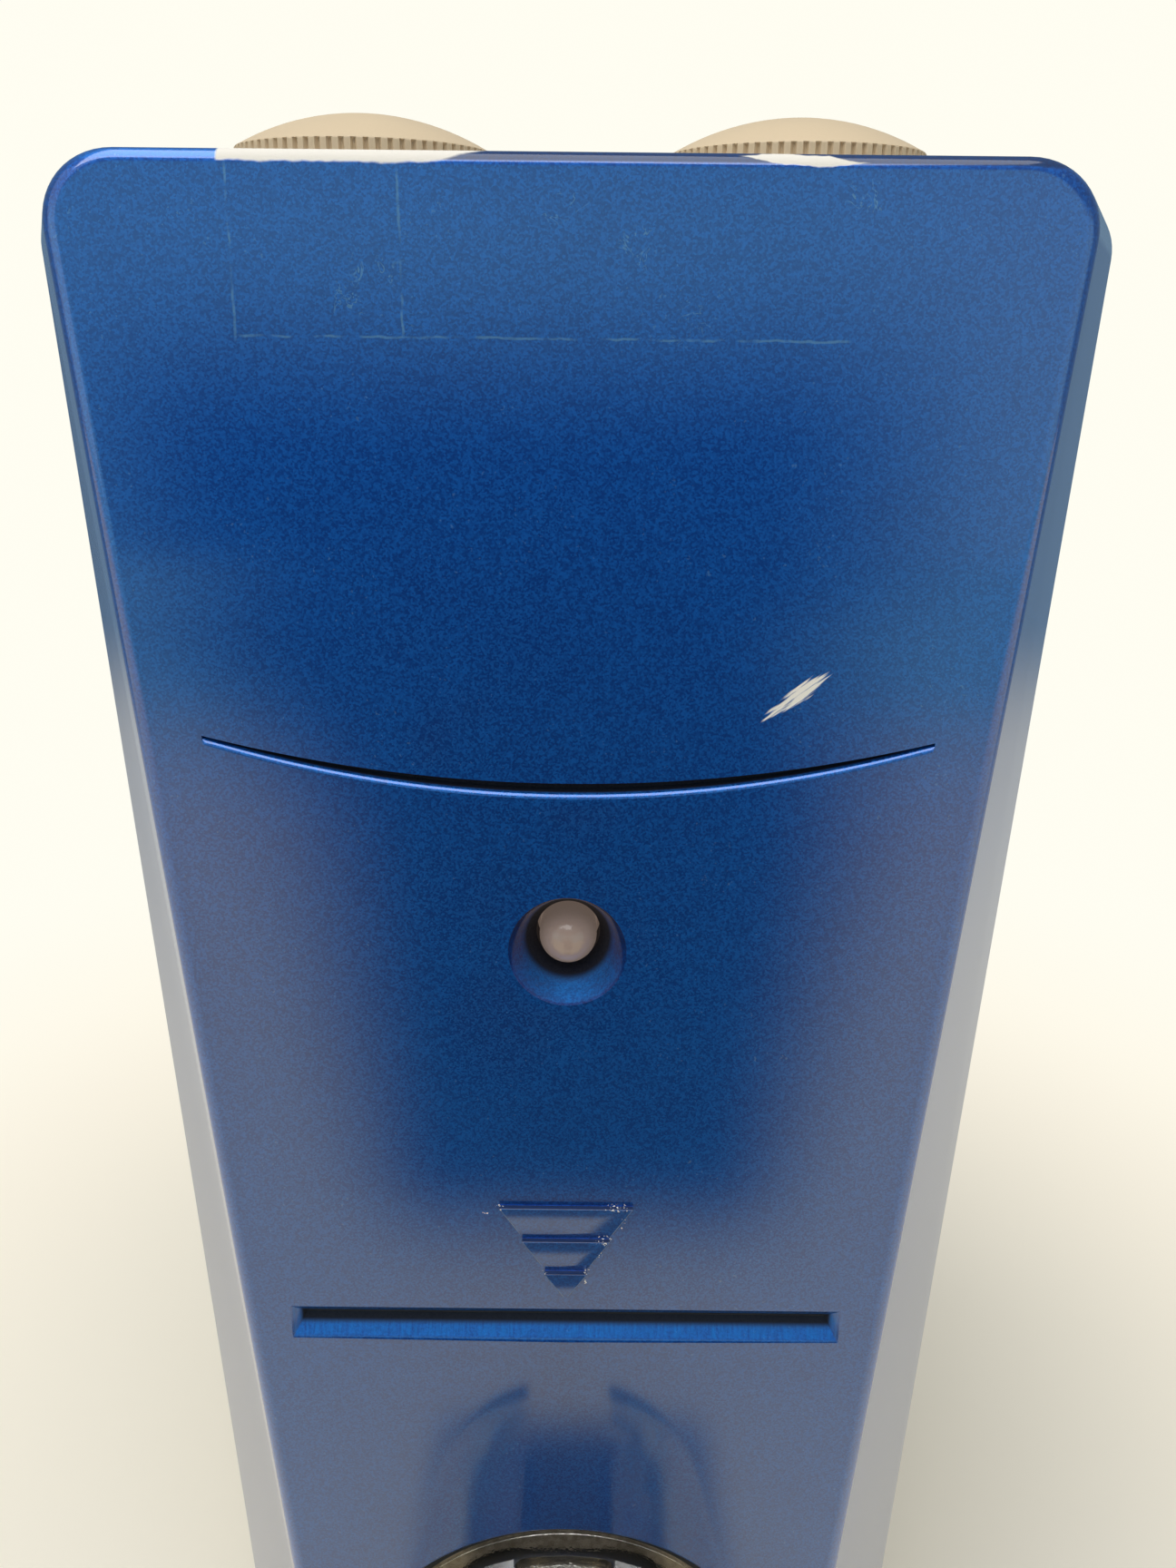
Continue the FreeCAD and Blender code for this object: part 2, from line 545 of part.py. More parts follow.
def make_rear_shell():
    shell = body("rear_shell")

    def section(name, forward, inset):
        top, low = f"{PARTING_TOP} - {inset}", f"{PARTING_LOW} - {inset}"
        ceiling, floor = f"{TOP} - {inset}", f"foot_height + {inset}"
        corners = [(f"-({low})", floor), (low, floor), (top, ceiling), (f"-({top})", ceiling)]
        radius = "corner_radius" if inset == "seam_step" else "corner_radius - shell_wall"
        return rounded(facing(shell, name, forward), corners, radius)

    pad(shell, "outer_form", section("outline", "-housing_depth", "seam_step"), "housing_depth")
    back = number("housing_depth")
    soften(shell, "back_edge", "Fillet", lambda at: abs(at.y - back) < 1e-4, "back_round")
    inside = section("inside", f"-{INNER_BACK}", "(seam_step + shell_wall)")
    feature(shell, "Pocket", "inner_form", inside, Type="ThroughAll", Reversed=True)
    wall = "-housing_depth + shell_wall / 2"
    posts = circles(facing(shell, "posts", wall), POST_TOP + POST_LOW, "post_radius")
    pad(shell, "post_pad", posts, "housing_depth - shell_wall / 2")
    foot_bosses(shell, FOOT_REAR)
    trim_parting(shell, Reversed=True)

    mounts = circles(facing(shell, "chassis_posts", wall), CHASSIS_SCREWS, "post_radius")
    pad(shell, "chassis_post", mounts, f"housing_depth - shell_wall / 2 - {CHASSIS_BACK}")
    holes = circles(facing(shell, "chassis_holes", f"-{CHASSIS_BACK}"), CHASSIS_SCREWS, SCREW_HOLE)
    pocket(shell, "chassis_hole", holes, "3 * post_radius")
    outer = "-housing_depth"
    holes = circles(facing(shell, "post_holes", outer), POST_TOP + POST_LOW, SCREW_HOLE)
    feature(shell, "Pocket", "post_hole", holes, Type="ThroughAll", Reversed=True)
    wells = circles(facing(shell, "screw_wells", outer), POST_TOP + POST_LOW, HEAD_HOLE)
    pocket(shell, "screw_well", wells, "hole_depth", Reversed=True)

    knobs = circles(level(shell, "knob_holes", TOP), both_sides("knob_place", "knob_setback"),
                    "bushing_radius + slide_gap")
    pocket(shell, "knob_hole", knobs, "2 * shell_wall")
    sides = (("inlet", "inlet_body_half", "inlet_height", "inlet_body_tall"),
             ("rocker", "rocker_half", "rocker_height", "rocker_tall"))
    for name, half, height, tall in sides:
        window = outline(facing(shell, name + "_window", outer),
                         box_corners(f"-{half}", f"{height} - {tall}", half, f"{height} + {tall}"))
        pocket(shell, name + "_cut", window, "2 * shell_wall", Reversed=True)
    places = both_sides("inlet_screw", "inlet_height")
    holes = circles(facing(shell, "inlet_holes", outer), places, SCREW_HOLE)
    pocket(shell, "inlet_hole", holes, "2 * shell_wall", Reversed=True)

    half = "vent_width / 2"
    corners = box_corners("-vent_half", f"vent_start - {half}", "vent_half", f"vent_start + {half}")
    slot = rounded(facing(shell, "vent", outer), corners, f"{half} - slide_gap")
    first = pocket(shell, "vent_slot", slot, "2 * shell_wall", Reversed=True)
    vents = shell.newObject("PartDesign::LinearPattern", "vents")
    vents.Originals = [first]
    vents.Direction = (slot, ["V_Axis"])
    bind(vents, "Length", "vent_pitch * (vent_count - 1)")
    bind(vents, "Occurrences", "vent_count")
    shell.Tip = vents
    doc.recompute()


def make_feet():
    feet, screws, reach = [], [], "foot_web + 2 * post_radius"
    for x, y in FOOT_FRONT + FOOT_REAR:
        foot = cone(x, y, "0", "foot_radius", "foot_radius - foot_taper", "foot_height")
        well = rod(x, y, "0", f"{HEAD_HOLE} + fit_gap", "foot_height - foot_web")
        feet.append(cut(foot, well, rod(x, y, "0", SCREW_HOLE, "foot_height")))
        screws.append(machine_screw(x, y, "foot_height - foot_web", reach, ALONG_Z))
    keep(group(*feet), "rubber_feet")
    keep(group(*screws), "foot_screws")


# ---------------------------------------------------------------- sealing head

HEAD = on_panel("head_drop")
EAR_PLACE = f"({RECESS} + collar_wall + ear_gap)"
PLATE_BACK = "(recess_depth + plate_thick)"
FLANGE_BACK = f"({PLATE_BACK} + flange_thick)"
FRAME_BACK = f"({FLANGE_BACK} + frame_thick)"
ARM_LEFT = "(jaw_gap / 2 + pad_thick)"
ARM_RIGHT = f"({ARM_LEFT} + arm_thick)"
ELECTRODE_BACK = "(jaw_gap / 2 + electrode_depth)"
SWEEP_LEFT = f"({ARM_LEFT} - jaw_travel - fit_gap)"
SWEEP_RIGHT = f"({ARM_RIGHT} + fit_gap)"
HEAD_SCREWS = both_sides("flange_half - screw_edge", "0")
ROD_PLACES = [("rod_depth", "rod_place"), ("rod_depth", "-rod_place")]
SHELF = "(finger_place + button_high + switch_tall / 2 + fit_gap)"


def make_head_plate():
    """The metal floor of the recess, with two ears that screw to the back of the panel."""
    plate = body("head_plate", HEAD)
    disc = circles(facing(plate, "disc", "-recess_depth"), [("0", "0")], f"{RECESS} + collar_wall")
    pad(plate, "disc_pad", disc, "plate_thick", Reversed=True)
    reach = f"({EAR_PLACE} + post_radius)"
    ears = rounded(facing(plate, "ears", "-recess_depth"),
                   box_corners("-ear_half", f"-{reach}", "ear_half", reach), "ear_half - fit_gap")
    pad(plate, "ear_pad", ears, "plate_thick", Reversed=True)
    wide, tall = "(head_half + fit_gap)", "(head_tall + fit_gap)"
    corners = box_corners(f"-{wide}", f"-{tall}", wide, tall)
    window = rounded(facing(plate, "window"), corners, "head_round")
    through(plate, "window_cut", window)
    ears = [("0", EAR_PLACE), ("0", f"-{EAR_PLACE}")]
    ear_holes = circles(facing(plate, "ear_holes"), ears, SCREW_HOLE)
    through(plate, "ear_hole", ear_holes)
    holes = circles(facing(plate, "holes"), HEAD_SCREWS, SCREW_HOLE)
    through(plate, "hole", holes)


def make_head_body():
    """The insulating head: two walls with the tube channel between them, and the space the jaw arm sweeps."""
    head = body("head_body", HEAD)
    nose = rounded(facing(head, "nose", "head_reach"), box_corners(
        "-head_half", "-head_tall", "head_half", "head_tall"), "head_round")
    pad(head, "nose_pad", nose, f"head_reach + {PLATE_BACK}", Reversed=True)
    flange = rounded(facing(head, "flange", f"-{PLATE_BACK}"), box_corners(
        "-flange_half", "-head_tall", "flange_half", "head_tall"), "collar_wall")
    pad(head, "flange_pad", flange, "flange_thick", Reversed=True)
    front = number("head_reach")
    soften(head, "nose_edge", "Fillet", lambda at: abs(at.y + front) < 1e-4, "edge_round")
    lead = "channel_half + channel_lead"
    channel = outline(level(head, "channel"), [
        ("-channel_half", "-channel_floor"), ("channel_half", "-channel_floor"),
        ("channel_half", "channel_lead - head_reach"), (lead, "-head_reach"),
        (lead, "-head_reach - edge_round"), (f"-({lead})", "-head_reach - edge_round"),
        (f"-({lead})", "-head_reach"), ("-channel_half", "channel_lead - head_reach")])
    through(head, "channel_cut", channel)
    sweep = outline(facing(head, "sweep", "pad_front + edge_round"), box_corners(
        SWEEP_LEFT, "-window_half", SWEEP_RIGHT, "window_half"))
    pocket(head, "sweep_cut", sweep, f"pad_front + edge_round + {FLANGE_BACK} + edge_round")
    seat = outline(facing(head, "seat", "pad_front"), box_corners(
        f"-{ELECTRODE_BACK}", "-pad_half", "-channel_half + edge_round", "pad_half"))
    pocket(head, "seat_cut", seat, "pad_front - pad_back")
    stud = circles(facing(head, "stud"), [("-stud_place", "0")], "stud_radius + slide_gap")
    pocket(head, "stud_front", stud, f"{FLANGE_BACK} + edge_round")
    stud = circles(facing(head, "stud_nose"), [("-stud_place", "0")], "stud_radius + slide_gap")
    pocket(head, "stud_back", stud, "pad_back", Reversed=True)
    holes = circles(facing(head, "holes"), HEAD_SCREWS, SCREW_HOLE)
    through(head, "hole", holes)
    slot = outline(facing(head, "finger_slot", "channel_floor + edge_round"), box_corners(
        "-finger_half - fit_gap", "finger_place - finger_height / 2 - fit_gap", "finger_half + fit_gap",
        "finger_place + finger_height / 2 + fit_gap"))
    pocket(head, "finger_cut", slot, "finger_lip + edge_round + slide_gap")
    bore = circles(facing(head, "finger_bore", "channel_floor - finger_lip"), [("0", "finger_place")],
                   "shoulder_radius + slide_gap")
    pocket(head, "finger_bore_cut", bore, f"channel_floor + {FLANGE_BACK}")


def make_fixed_electrode():
    block = box(f"-{ELECTRODE_BACK}", "-pad_front", "-pad_half", "electrode_depth", "pad_front - pad_back",
                "2 * pad_half")
    reach = f"pad_back + {FRAME_BACK} + stud_past"
    stud = rod("-stud_place", "-pad_back", "0", "stud_radius", reach, ALONG_Y)
    keep(fuse(block, stud), "fixed_electrode", HEAD)
    high = "frame_thick + fit_gap"
    nut = cut(hexagon("-stud_place", FLANGE_BACK, "0", "electrode_nut_width", high, ALONG_Y),
              rod("-stud_place", FLANGE_BACK, "0", "stud_radius + slide_gap", high, ALONG_Y))
    keep(nut, "electrode_nut", HEAD)
    front = f"({FRAME_BACK} + fit_gap)"
    left = "-stud_place - strap_shift"
    board = "chassis_setback - standoff_long - board_thick - fit_gap"
    reach = f"(({board} + (head_drop - strap_rise) * sin(lean_angle)) / cos(lean_angle) - {front})"
    lug = rod("-stud_place", front, "0", "lug_radius", "strap_thick", ALONG_Y)
    rise = box(left, front, "0", "strap_width", "strap_thick", "strap_rise")
    run = box(left, front, "strap_rise - strap_thick", "strap_width", reach, "strap_thick")
    hole = rod("-stud_place", front, "0", "stud_radius + slide_gap", "strap_thick", ALONG_Y)
    keep(cut(fuse(lug, rise, run), hole), "rf_strap", HEAD)


def make_head_frame():
    """A steel bracket behind the head that carries the guide rods, the solenoid and the trigger switch."""
    frame = body("head_frame", HEAD)
    inner, lug_back = "frame_half - frame_thick", "rod_depth + rod_margin"
    profile = outline(level(frame, "profile"), [
        ("-frame_half", FLANGE_BACK), ("frame_half", FLANGE_BACK), ("frame_half", lug_back),
        (inner, lug_back), (inner, FRAME_BACK), (f"-({inner})", FRAME_BACK),
        (f"-({inner})", "coil_depth + yoke_half"), ("-frame_half", "coil_depth + yoke_half")])
    feature(frame, "Pad", "bent_plate", profile, {"Length": "2 * yoke_half"}, SideType="Symmetric")
    shelf = outline(facing(frame, "shelf", f"-{FLANGE_BACK}"), box_corners(
        "-switch_long / 2", "yoke_half / 2", "switch_long / 2", f"{SHELF} + frame_thick"))
    pad(frame, "shelf_neck", shelf, "frame_thick", Reversed=True)
    shelf = outline(level(frame, "shelf_plan", SHELF), box_corners(
        "-switch_long / 2", FLANGE_BACK, "switch_long / 2", "switch_front + switch_deep"))
    pad(frame, "shelf_pad", shelf, "frame_thick")
    window = outline(facing(frame, "window", f"-{FLANGE_BACK} + edge_round"), box_corners(
        SWEEP_LEFT, "-window_half", SWEEP_RIGHT, "window_half"))
    pocket(frame, "window_cut", window, "3 * frame_thick")
    stud = circles(facing(frame, "stud", f"-{FLANGE_BACK} + edge_round"), [("-stud_place", "0")],
                   "electrode_nut_width / 2 + stud_radius")
    pocket(frame, "stud_cut", stud, "3 * frame_thick")
    stem = circles(facing(frame, "stem", f"-{FLANGE_BACK} + edge_round"), [("0", "finger_place")],
                   "stem_radius + fit_gap")
    pocket(frame, "stem_cut", stem, "3 * frame_thick")
    holes = circles(facing(frame, "holes", f"-{FLANGE_BACK} + edge_round"), HEAD_SCREWS, SCREW_HOLE)
    pocket(frame, "hole", holes, "3 * frame_thick")
    rods = circles(sketch_on(frame, "rods", "YZ_Plane"), ROD_PLACES, "rod_radius + slide_gap")
    through(frame, "rod_holes", rods)


def make_jaw():
    rods = [rod("-frame_half", y, z, "rod_radius", "2 * frame_half", ALONG_X) for y, z in ROD_PLACES]
    keep(group(*rods), "guide_rods", HEAD)
    carriage = body("jaw_carriage", HEAD)
    block = outline(level(carriage, "block"), box_corners(
        "carriage_left", "carriage_front", "carriage_right", "carriage_back"))
    feature(carriage, "Pad", "block_pad", block, {"Length": "2 * carriage_half"}, SideType="Symmetric")
    arm = outline(level(carriage, "arm"), box_corners(
        ARM_LEFT, "-pad_front", ARM_RIGHT, "carriage_front + edge_round"))
    feature(carriage, "Pad", "arm_pad", arm, {"Length": "2 * arm_half"}, SideType="Symmetric")
    leg = outline(level(carriage, "leg"), box_corners(
        "leg_left", "carriage_back - edge_round", "leg_right", "leg_back"))
    feature(carriage, "Pad", "leg_pad", leg, {"Length": "2 * leg_half"}, SideType="Symmetric")
    holes = circles(sketch_on(carriage, "bush_holes", "YZ_Plane"), ROD_PLACES, "bush_radius + slide_gap")
    through(carriage, "bush_hole", holes)
    neck = circles(sketch_on(carriage, "neck_hole", "YZ_Plane"), [("coil_depth", "0")],
                   "neck_radius + slide_gap")
    through(carriage, "neck_cut", neck)

    long = "carriage_right - carriage_left"
    bushes = [cut(rod("carriage_left", y, z, "bush_radius", long, ALONG_X),
                  rod("carriage_left", y, z, "rod_radius + slide_gap", long, ALONG_X)) for y, z in ROD_PLACES]
    keep(group(*bushes), "carriage_bushes", HEAD)
    keep(box("jaw_gap / 2", "-pad_front", "-pad_half", "pad_thick", "pad_front - pad_back", "2 * pad_half"),
         "moving_electrode", HEAD)
    shaft = rod("leg_left - plunger_long", "coil_depth", "0", "plunger_radius", "plunger_long", ALONG_X)
    neck = rod("leg_left", "coil_depth", "0", "neck_radius", "leg_right - leg_left + 2 * edge_round", ALONG_X)
    keep(fuse(shaft, neck), "solenoid_plunger", HEAD)
    clip = cut(rod("leg_right", "coil_depth", "0", "clip_radius", "edge_round", ALONG_X),
               rod("leg_right", "coil_depth", "0", "neck_radius + slide_gap", "edge_round", ALONG_X))
    keep(clip, "plunger_clip", HEAD)

    left = number("frame_thick - frame_half + slide_gap")
    long = number("carriage_left - frame_thick + frame_half - 2 * slide_gap")
    wire = number("spring_wire")
    radius = number("rod_radius + 2 * spring_wire")
    turns = number("jaw_turns")
    springs = [coil_spring(radius, wire, long, turns, Placement(Vector(left, number(y), number(z)), ALONG_X))
               for y, z in ROD_PLACES]
    keep(shape_of(*springs), "jaw_springs", HEAD)


def make_solenoid():
    yoke = body("solenoid_yoke", HEAD)
    left, right = "frame_thick - frame_half", "frame_thick - frame_half + 2 * yoke_wall + coil_length"
    front, back = "coil_depth - yoke_half", "coil_depth + yoke_half"
    plates = outline(level(yoke, "plates"), [
        (left, front), (f"{left} + yoke_wall", front), (f"{left} + yoke_wall", f"{back} - yoke_wall"),
        (f"{right} - yoke_wall", f"{back} - yoke_wall"), (f"{right} - yoke_wall", front), (right, front),
        (right, back), (left, back)])
    feature(yoke, "Pad", "plate_pad", plates, {"Length": "2 * yoke_half - 2 * edge_round"},
            SideType="Symmetric")
    hole = circles(sketch_on(yoke, "hole", "YZ_Plane"), [("coil_depth", "0")], "plunger_radius + slide_gap")
    through(yoke, "plunger_hole", hole)
    start = f"{left} + yoke_wall"
    coil = cut(rod(start, "coil_depth", "0", "coil_radius", "coil_length", ALONG_X),
               rod(start, "coil_depth", "0", "plunger_radius + slide_gap", "coil_length", ALONG_X))
    keep(coil, "solenoid_coil", HEAD)
    keep(rod(left, "coil_depth", "0", "plunger_radius", "core_length", ALONG_X), "solenoid_core", HEAD)


def make_trigger():
    """The finger at the back of the channel that a tube pushes in to close the switch."""
    front = "-channel_floor - finger_reach"
    lip = "finger_lip - channel_floor + slide_gap"
    blade = box("-finger_half", front, "finger_place - finger_height / 2", "2 * finger_half",
                "finger_reach + finger_lip + slide_gap", "finger_height")
    shoulder = rod("0", lip, "finger_place", "shoulder_radius", "finger_lip", ALONG_Y)
    stem = rod("0", lip, "finger_place", "stem_radius", f"stem_end - ({lip})", ALONG_Y)
    keep(fuse(blade, shoulder, stem), "tube_trigger", HEAD)
    start = number(f"{lip} + finger_lip + slide_gap")
    long = number(FLANGE_BACK) - start - number("slide_gap")
    radius, wire = number("stem_radius + 2 * spring_wire + slide_gap"), number("spring_wire")
    spot = Placement(Vector(0, start, number("finger_place")), ALONG_Y)
    spring = coil_spring(radius, wire, long, number("trigger_turns"), spot)
    keep(shape_of(spring), "trigger_spring", HEAD)
    case = box("-switch_long / 2", "switch_front + finger_travel", f"{SHELF} - switch_tall", "switch_long",
               "switch_deep", "switch_tall")
    button = rod("0", "stem_end + finger_travel + slide_gap", "finger_place", "stem_radius",
                 "switch_front - stem_end - slide_gap", ALONG_Y)
    keep(fuse(case, button), "trigger_switch", HEAD)


def make_guard():
    """A clear cone over the head, slotted for the tube, with a rail along each side of the slot."""
    root = "recess_depth - fit_gap"
    long = f"({root} + guard_reach)"
    outer = cone("0", root, "0", GUARD_ROOT, GUARD_FRONT, long, OUTWARDS)
    inner = cone("0", f"{root} + edge_round", "0", f"{GUARD_ROOT} - guard_wall",
                 f"{GUARD_FRONT} - guard_wall", f"{long} - guard_wall + edge_round", OUTWARDS)
    rails = [box(x, "-guard_reach", z, "guard_rail", "guard_reach", GUARD_ROOT)
             for x in ("guard_slot", "-guard_slot - guard_rail")
             for z in ("head_tall + rail_gap", f"-head_tall - rail_gap - {GUARD_ROOT}")]
    slot = box("-guard_slot", "-guard_reach - edge_round", f"-2 * {GUARD_ROOT}", "2 * guard_slot",
               "guard_reach - root_ring + edge_round", f"4 * {GUARD_ROOT}")
    groove_start = "seal_depth - seal_radius - slide_gap"
    groove_long = "2 * seal_radius + 2 * slide_gap"
    ring_inside = f"({RECESS} - fit_gap - 2 * seal_radius)"
    groove = cut(rod("0", groove_start, "0", f"2 * {GUARD_ROOT}", groove_long, ALONG_Y),
                 rod("0", groove_start, "0", f"{ring_inside} - slide_gap", groove_long, ALONG_Y))
    keep(cut(outer, cut(inner, *rails), slot, groove), "splash_guard", HEAD)


def make_seal():
    """The rubber ring between guard and recess, with an eight-sided section."""
    seal = body("guard_seal", HEAD)
    sides = 8
    out = number("seal_radius") / math.cos(math.pi / sides)
    turns = [math.pi * (2 * side + 1) / sides for side in range(sides)]
    corners = [(f"{RECESS} - fit_gap - seal_radius + {out * math.cos(turn)}",
                f"seal_depth + {out * math.sin(turn)}") for turn in turns]
    turn(seal, "turned_ring", outline(level(seal, "section"), corners))


def make_led():
    place = on_panel("led_drop")
    back = "led_boss_depth"
    dome_at = "led_tip + led_radius"
    dome = doc.addObject("Part::Sphere", "dome")
    bind(dome, "Radius", "led_radius")
    dome.Placement = Placement(Vector(0, number(dome_at), 0), Rotation())
    barrel = rod("0", dome_at, "0", "led_radius", f"{back} - ({dome_at}) + fit_gap", ALONG_Y)
    flange = rod("0", f"{back} + fit_gap", "0", "led_flange", "edge_round", ALONG_Y)
    legs = [rod(x, f"{back} + edge_round", "0", "leg_radius", "leg_long", ALONG_Y)
            for x in ("-leg_place", "leg_place")]
    keep(fuse(dome, barrel, flange, *legs), "ready_led", place)
    front = f"{back} + fit_gap + edge_round"
    side = "2 * led_board_half"
    holes = [rod(x, front, "0", "leg_hole", "board_thick", ALONG_Y) for x in ("-leg_place", "leg_place")]
    board = cut(box("-led_board_half", front, "-led_board_half", side, "board_thick", side), *holes)
    keep(board, "led_board", place)


# ---------------------------------------------------------------- knobs and potentiometers

def make_knob(side, label):
    spot = Vector(side * number("knob_place"), number("knob_setback"), number(TOP))
    knob = body(label, HOUSE * Placement(spot, Rotation()))
    ceiling = "knob_lift + cavity_height"
    bore = "shaft_radius + slide_gap"
    bore_top = "shaft_top + fit_gap"
    dome = "(knob_radius^2 + dome_height^2) / (2 * dome_height)"
    profile = outline(facing(knob, "profile"), [
        ("knob_cavity", "knob_lift"), ("knob_radius", "knob_lift"), ("knob_radius", "knob_height"),
        ("0", "knob_height + dome_height"), ("0", bore_top), (bore, bore_top), (bore, ceiling),
        ("knob_cavity", ceiling)], {2: dome})
    turn(knob, "turned_form", profile)
    flat = outline(level(knob, "flat", f"{ceiling} - slide_gap"), box_corners(
        "shaft_flat + slide_gap", "-shaft_radius", f"{bore} + fit_gap", "shaft_radius"))
    pad(knob, "bore_flat", flat, f"{bore_top} - ({ceiling}) + edge_round")
    notch = outline(level(knob, "rib_gap", "knob_height - rim_land"), [
        ("knob_radius - rib_depth", "0"), ("knob_radius + fit_gap", "-rib_half"),
        ("knob_radius + fit_gap", "rib_half")])
    first = feature(knob, "Pocket", "rib_notch", notch, Type="ThroughAll")
    ribs = knob.newObject("PartDesign::PolarPattern", "ribs")
    ribs.Originals = [first]
    ribs.Axis = (profile, ["V_Axis"])
    ribs.Angle = 360
    bind(ribs, "Occurrences", "knob_ribs")
    knob.Tip = ribs
    doc.recompute()


def make_pot(side, knob_name):
    x = f"{side} * knob_place"
    ceiling = f"{TOP} - seam_step - shell_wall"
    shaft_low = f"{ceiling} - pot_height / 2"
    case = rod(x, "knob_setback", f"{ceiling} - pot_height", "pot_radius", "pot_height")
    terminals = box(f"{x} - terminal_half", "knob_setback + pot_radius - terminal_thick",
                    f"{ceiling} - pot_height", "2 * terminal_half", "terminal_thick + terminal_out",
                    "terminal_thick")
    bushing = rod(x, "knob_setback", ceiling, "bushing_radius", "shell_wall + bushing_top")
    bore = rod(x, "knob_setback", shaft_low, "shaft_radius + slide_gap", "housing_depth")
    keep(cut(fuse(case, terminals, bushing), bore), knob_name + "_pot")
    long = f"{TOP} + shaft_top - ({shaft_low})"
    shaft = rod(x, "knob_setback", shaft_low, "shaft_radius", long)
    flat = box(f"{x} + shaft_flat", "knob_setback - shaft_radius",
               f"{TOP} + knob_lift + cavity_height - 2 * slide_gap", "shaft_radius", "2 * shaft_radius",
               "shaft_top")
    keep(cut(shaft, flat), knob_name + "_shaft")
    washer = rod(x, "knob_setback", f"{TOP} - seam_step", "washer_radius", "washer_thick")
    nut = hexagon(x, "knob_setback", f"{TOP} - seam_step + washer_thick", "nut_width", "nut_height")
    hole = rod(x, "knob_setback", f"{TOP} - seam_step", "bushing_radius + slide_gap", "2 * nut_height")
    return cut(fuse(washer, nut), hole)


# ---------------------------------------------------------------- mains inlet and rocker

INLET = HOUSE * Placement(Vector(0, number("housing_depth"), number("inlet_height")), Rotation())
ROCKER = HOUSE * Placement(Vector(0, number("housing_depth"), number("rocker_height")), Rotation())


def make_inlet():
    inlet = body("mains_inlet", INLET)
    flange = rounded(facing(inlet, "flange", "-flange_front"), box_corners(
        "-inlet_half", "-inlet_tall", "inlet_half", "inlet_tall"), "corner_radius")
    pad(inlet, "flange_pad", flange, "flange_front")
    half, tall = "inlet_body_half - fit_gap", "(inlet_body_tall - fit_gap)"
    case = outline(facing(inlet, "case"), box_corners(f"-({half})", f"-{tall}", half, tall))
    pad(inlet, "case_pad", case, "inlet_deep")
    low, high = "-socket_drop - socket_tall", "socket_tall - socket_drop"
    socket = outline(facing(inlet, "socket", "-flange_front"), [
        ("-socket_half", low), ("socket_half", low), ("socket_half", f"{high} - corner_radius"),
        ("socket_half - corner_radius", high), ("corner_radius - socket_half", high),
        ("-socket_half", f"{high} - corner_radius")])
    pocket(inlet, "socket_cut", socket, "socket_deep", Reversed=True)
    drawer = outline(facing(inlet, "drawer", "-flange_front"), box_corners(
        "-drawer_half - fit_gap", "drawer_rise - drawer_tall - fit_gap", "drawer_half + fit_gap",
        "drawer_rise + drawer_tall + fit_gap"))
    pocket(inlet, "drawer_cut", drawer, "flange_front + drawer_deep", Reversed=True)
    holes = circles(facing(inlet, "holes"), both_sides("inlet_screw", "0"), SCREW_HOLE)
    through(inlet, "hole", holes)

    bottom, middle = "flange_front - socket_deep", "-socket_drop - pin_tall / 2"
    places = both_sides("pin_place", f"{middle} - pin_low") + [("0", f"{middle} - pin_low + pin_high")]
    pins = [box(f"{x} - pin_half", bottom, z, "2 * pin_half", "socket_deep - pin_short", "pin_tall")
            for x, z in places]
    keep(group(*pins), "inlet_pins", INLET)

    low = "drawer_rise - drawer_tall"
    tray = box("-drawer_half", "fit_gap - drawer_deep", low, "2 * drawer_half",
               "drawer_deep + flange_front - fit_gap", "2 * drawer_tall")
    lip = box("-drawer_half", "flange_front - slide_gap", low, "2 * drawer_half", "drawer_lip + slide_gap",
              "2 * drawer_tall")
    finger_groove = rod("-drawer_half", "flange_front + drawer_lip", f"{low} + 2 * drawer_tall",
                        "drawer_lip", "2 * drawer_half", ALONG_X)
    hollow = box("edge_round - drawer_half", "edge_round + fit_gap - drawer_deep", f"{low} + edge_round",
                 "2 * drawer_half - 2 * edge_round", "drawer_deep - 2 * edge_round", "2 * drawer_tall")
    keep(cut(fuse(tray, lip), hollow, finger_groove), "fuse_drawer", INLET)
    links = [rod(x, "edge_round + 2 * fit_gap - drawer_deep", f"{low} + edge_round + fuse_radius + slide_gap",
                 "fuse_radius", "fuse_length", ALONG_Y) for x in ("-2 * fuse_radius", "2 * fuse_radius")]
    keep(group(*links), "fuses", INLET)
    screws = [machine_screw(x, "flange_front", z, "flange_front + 3 * shell_wall", OUTWARDS)
              for x, z in both_sides("inlet_screw", "0")]
    keep(group(*screws), "inlet_screws", INLET)


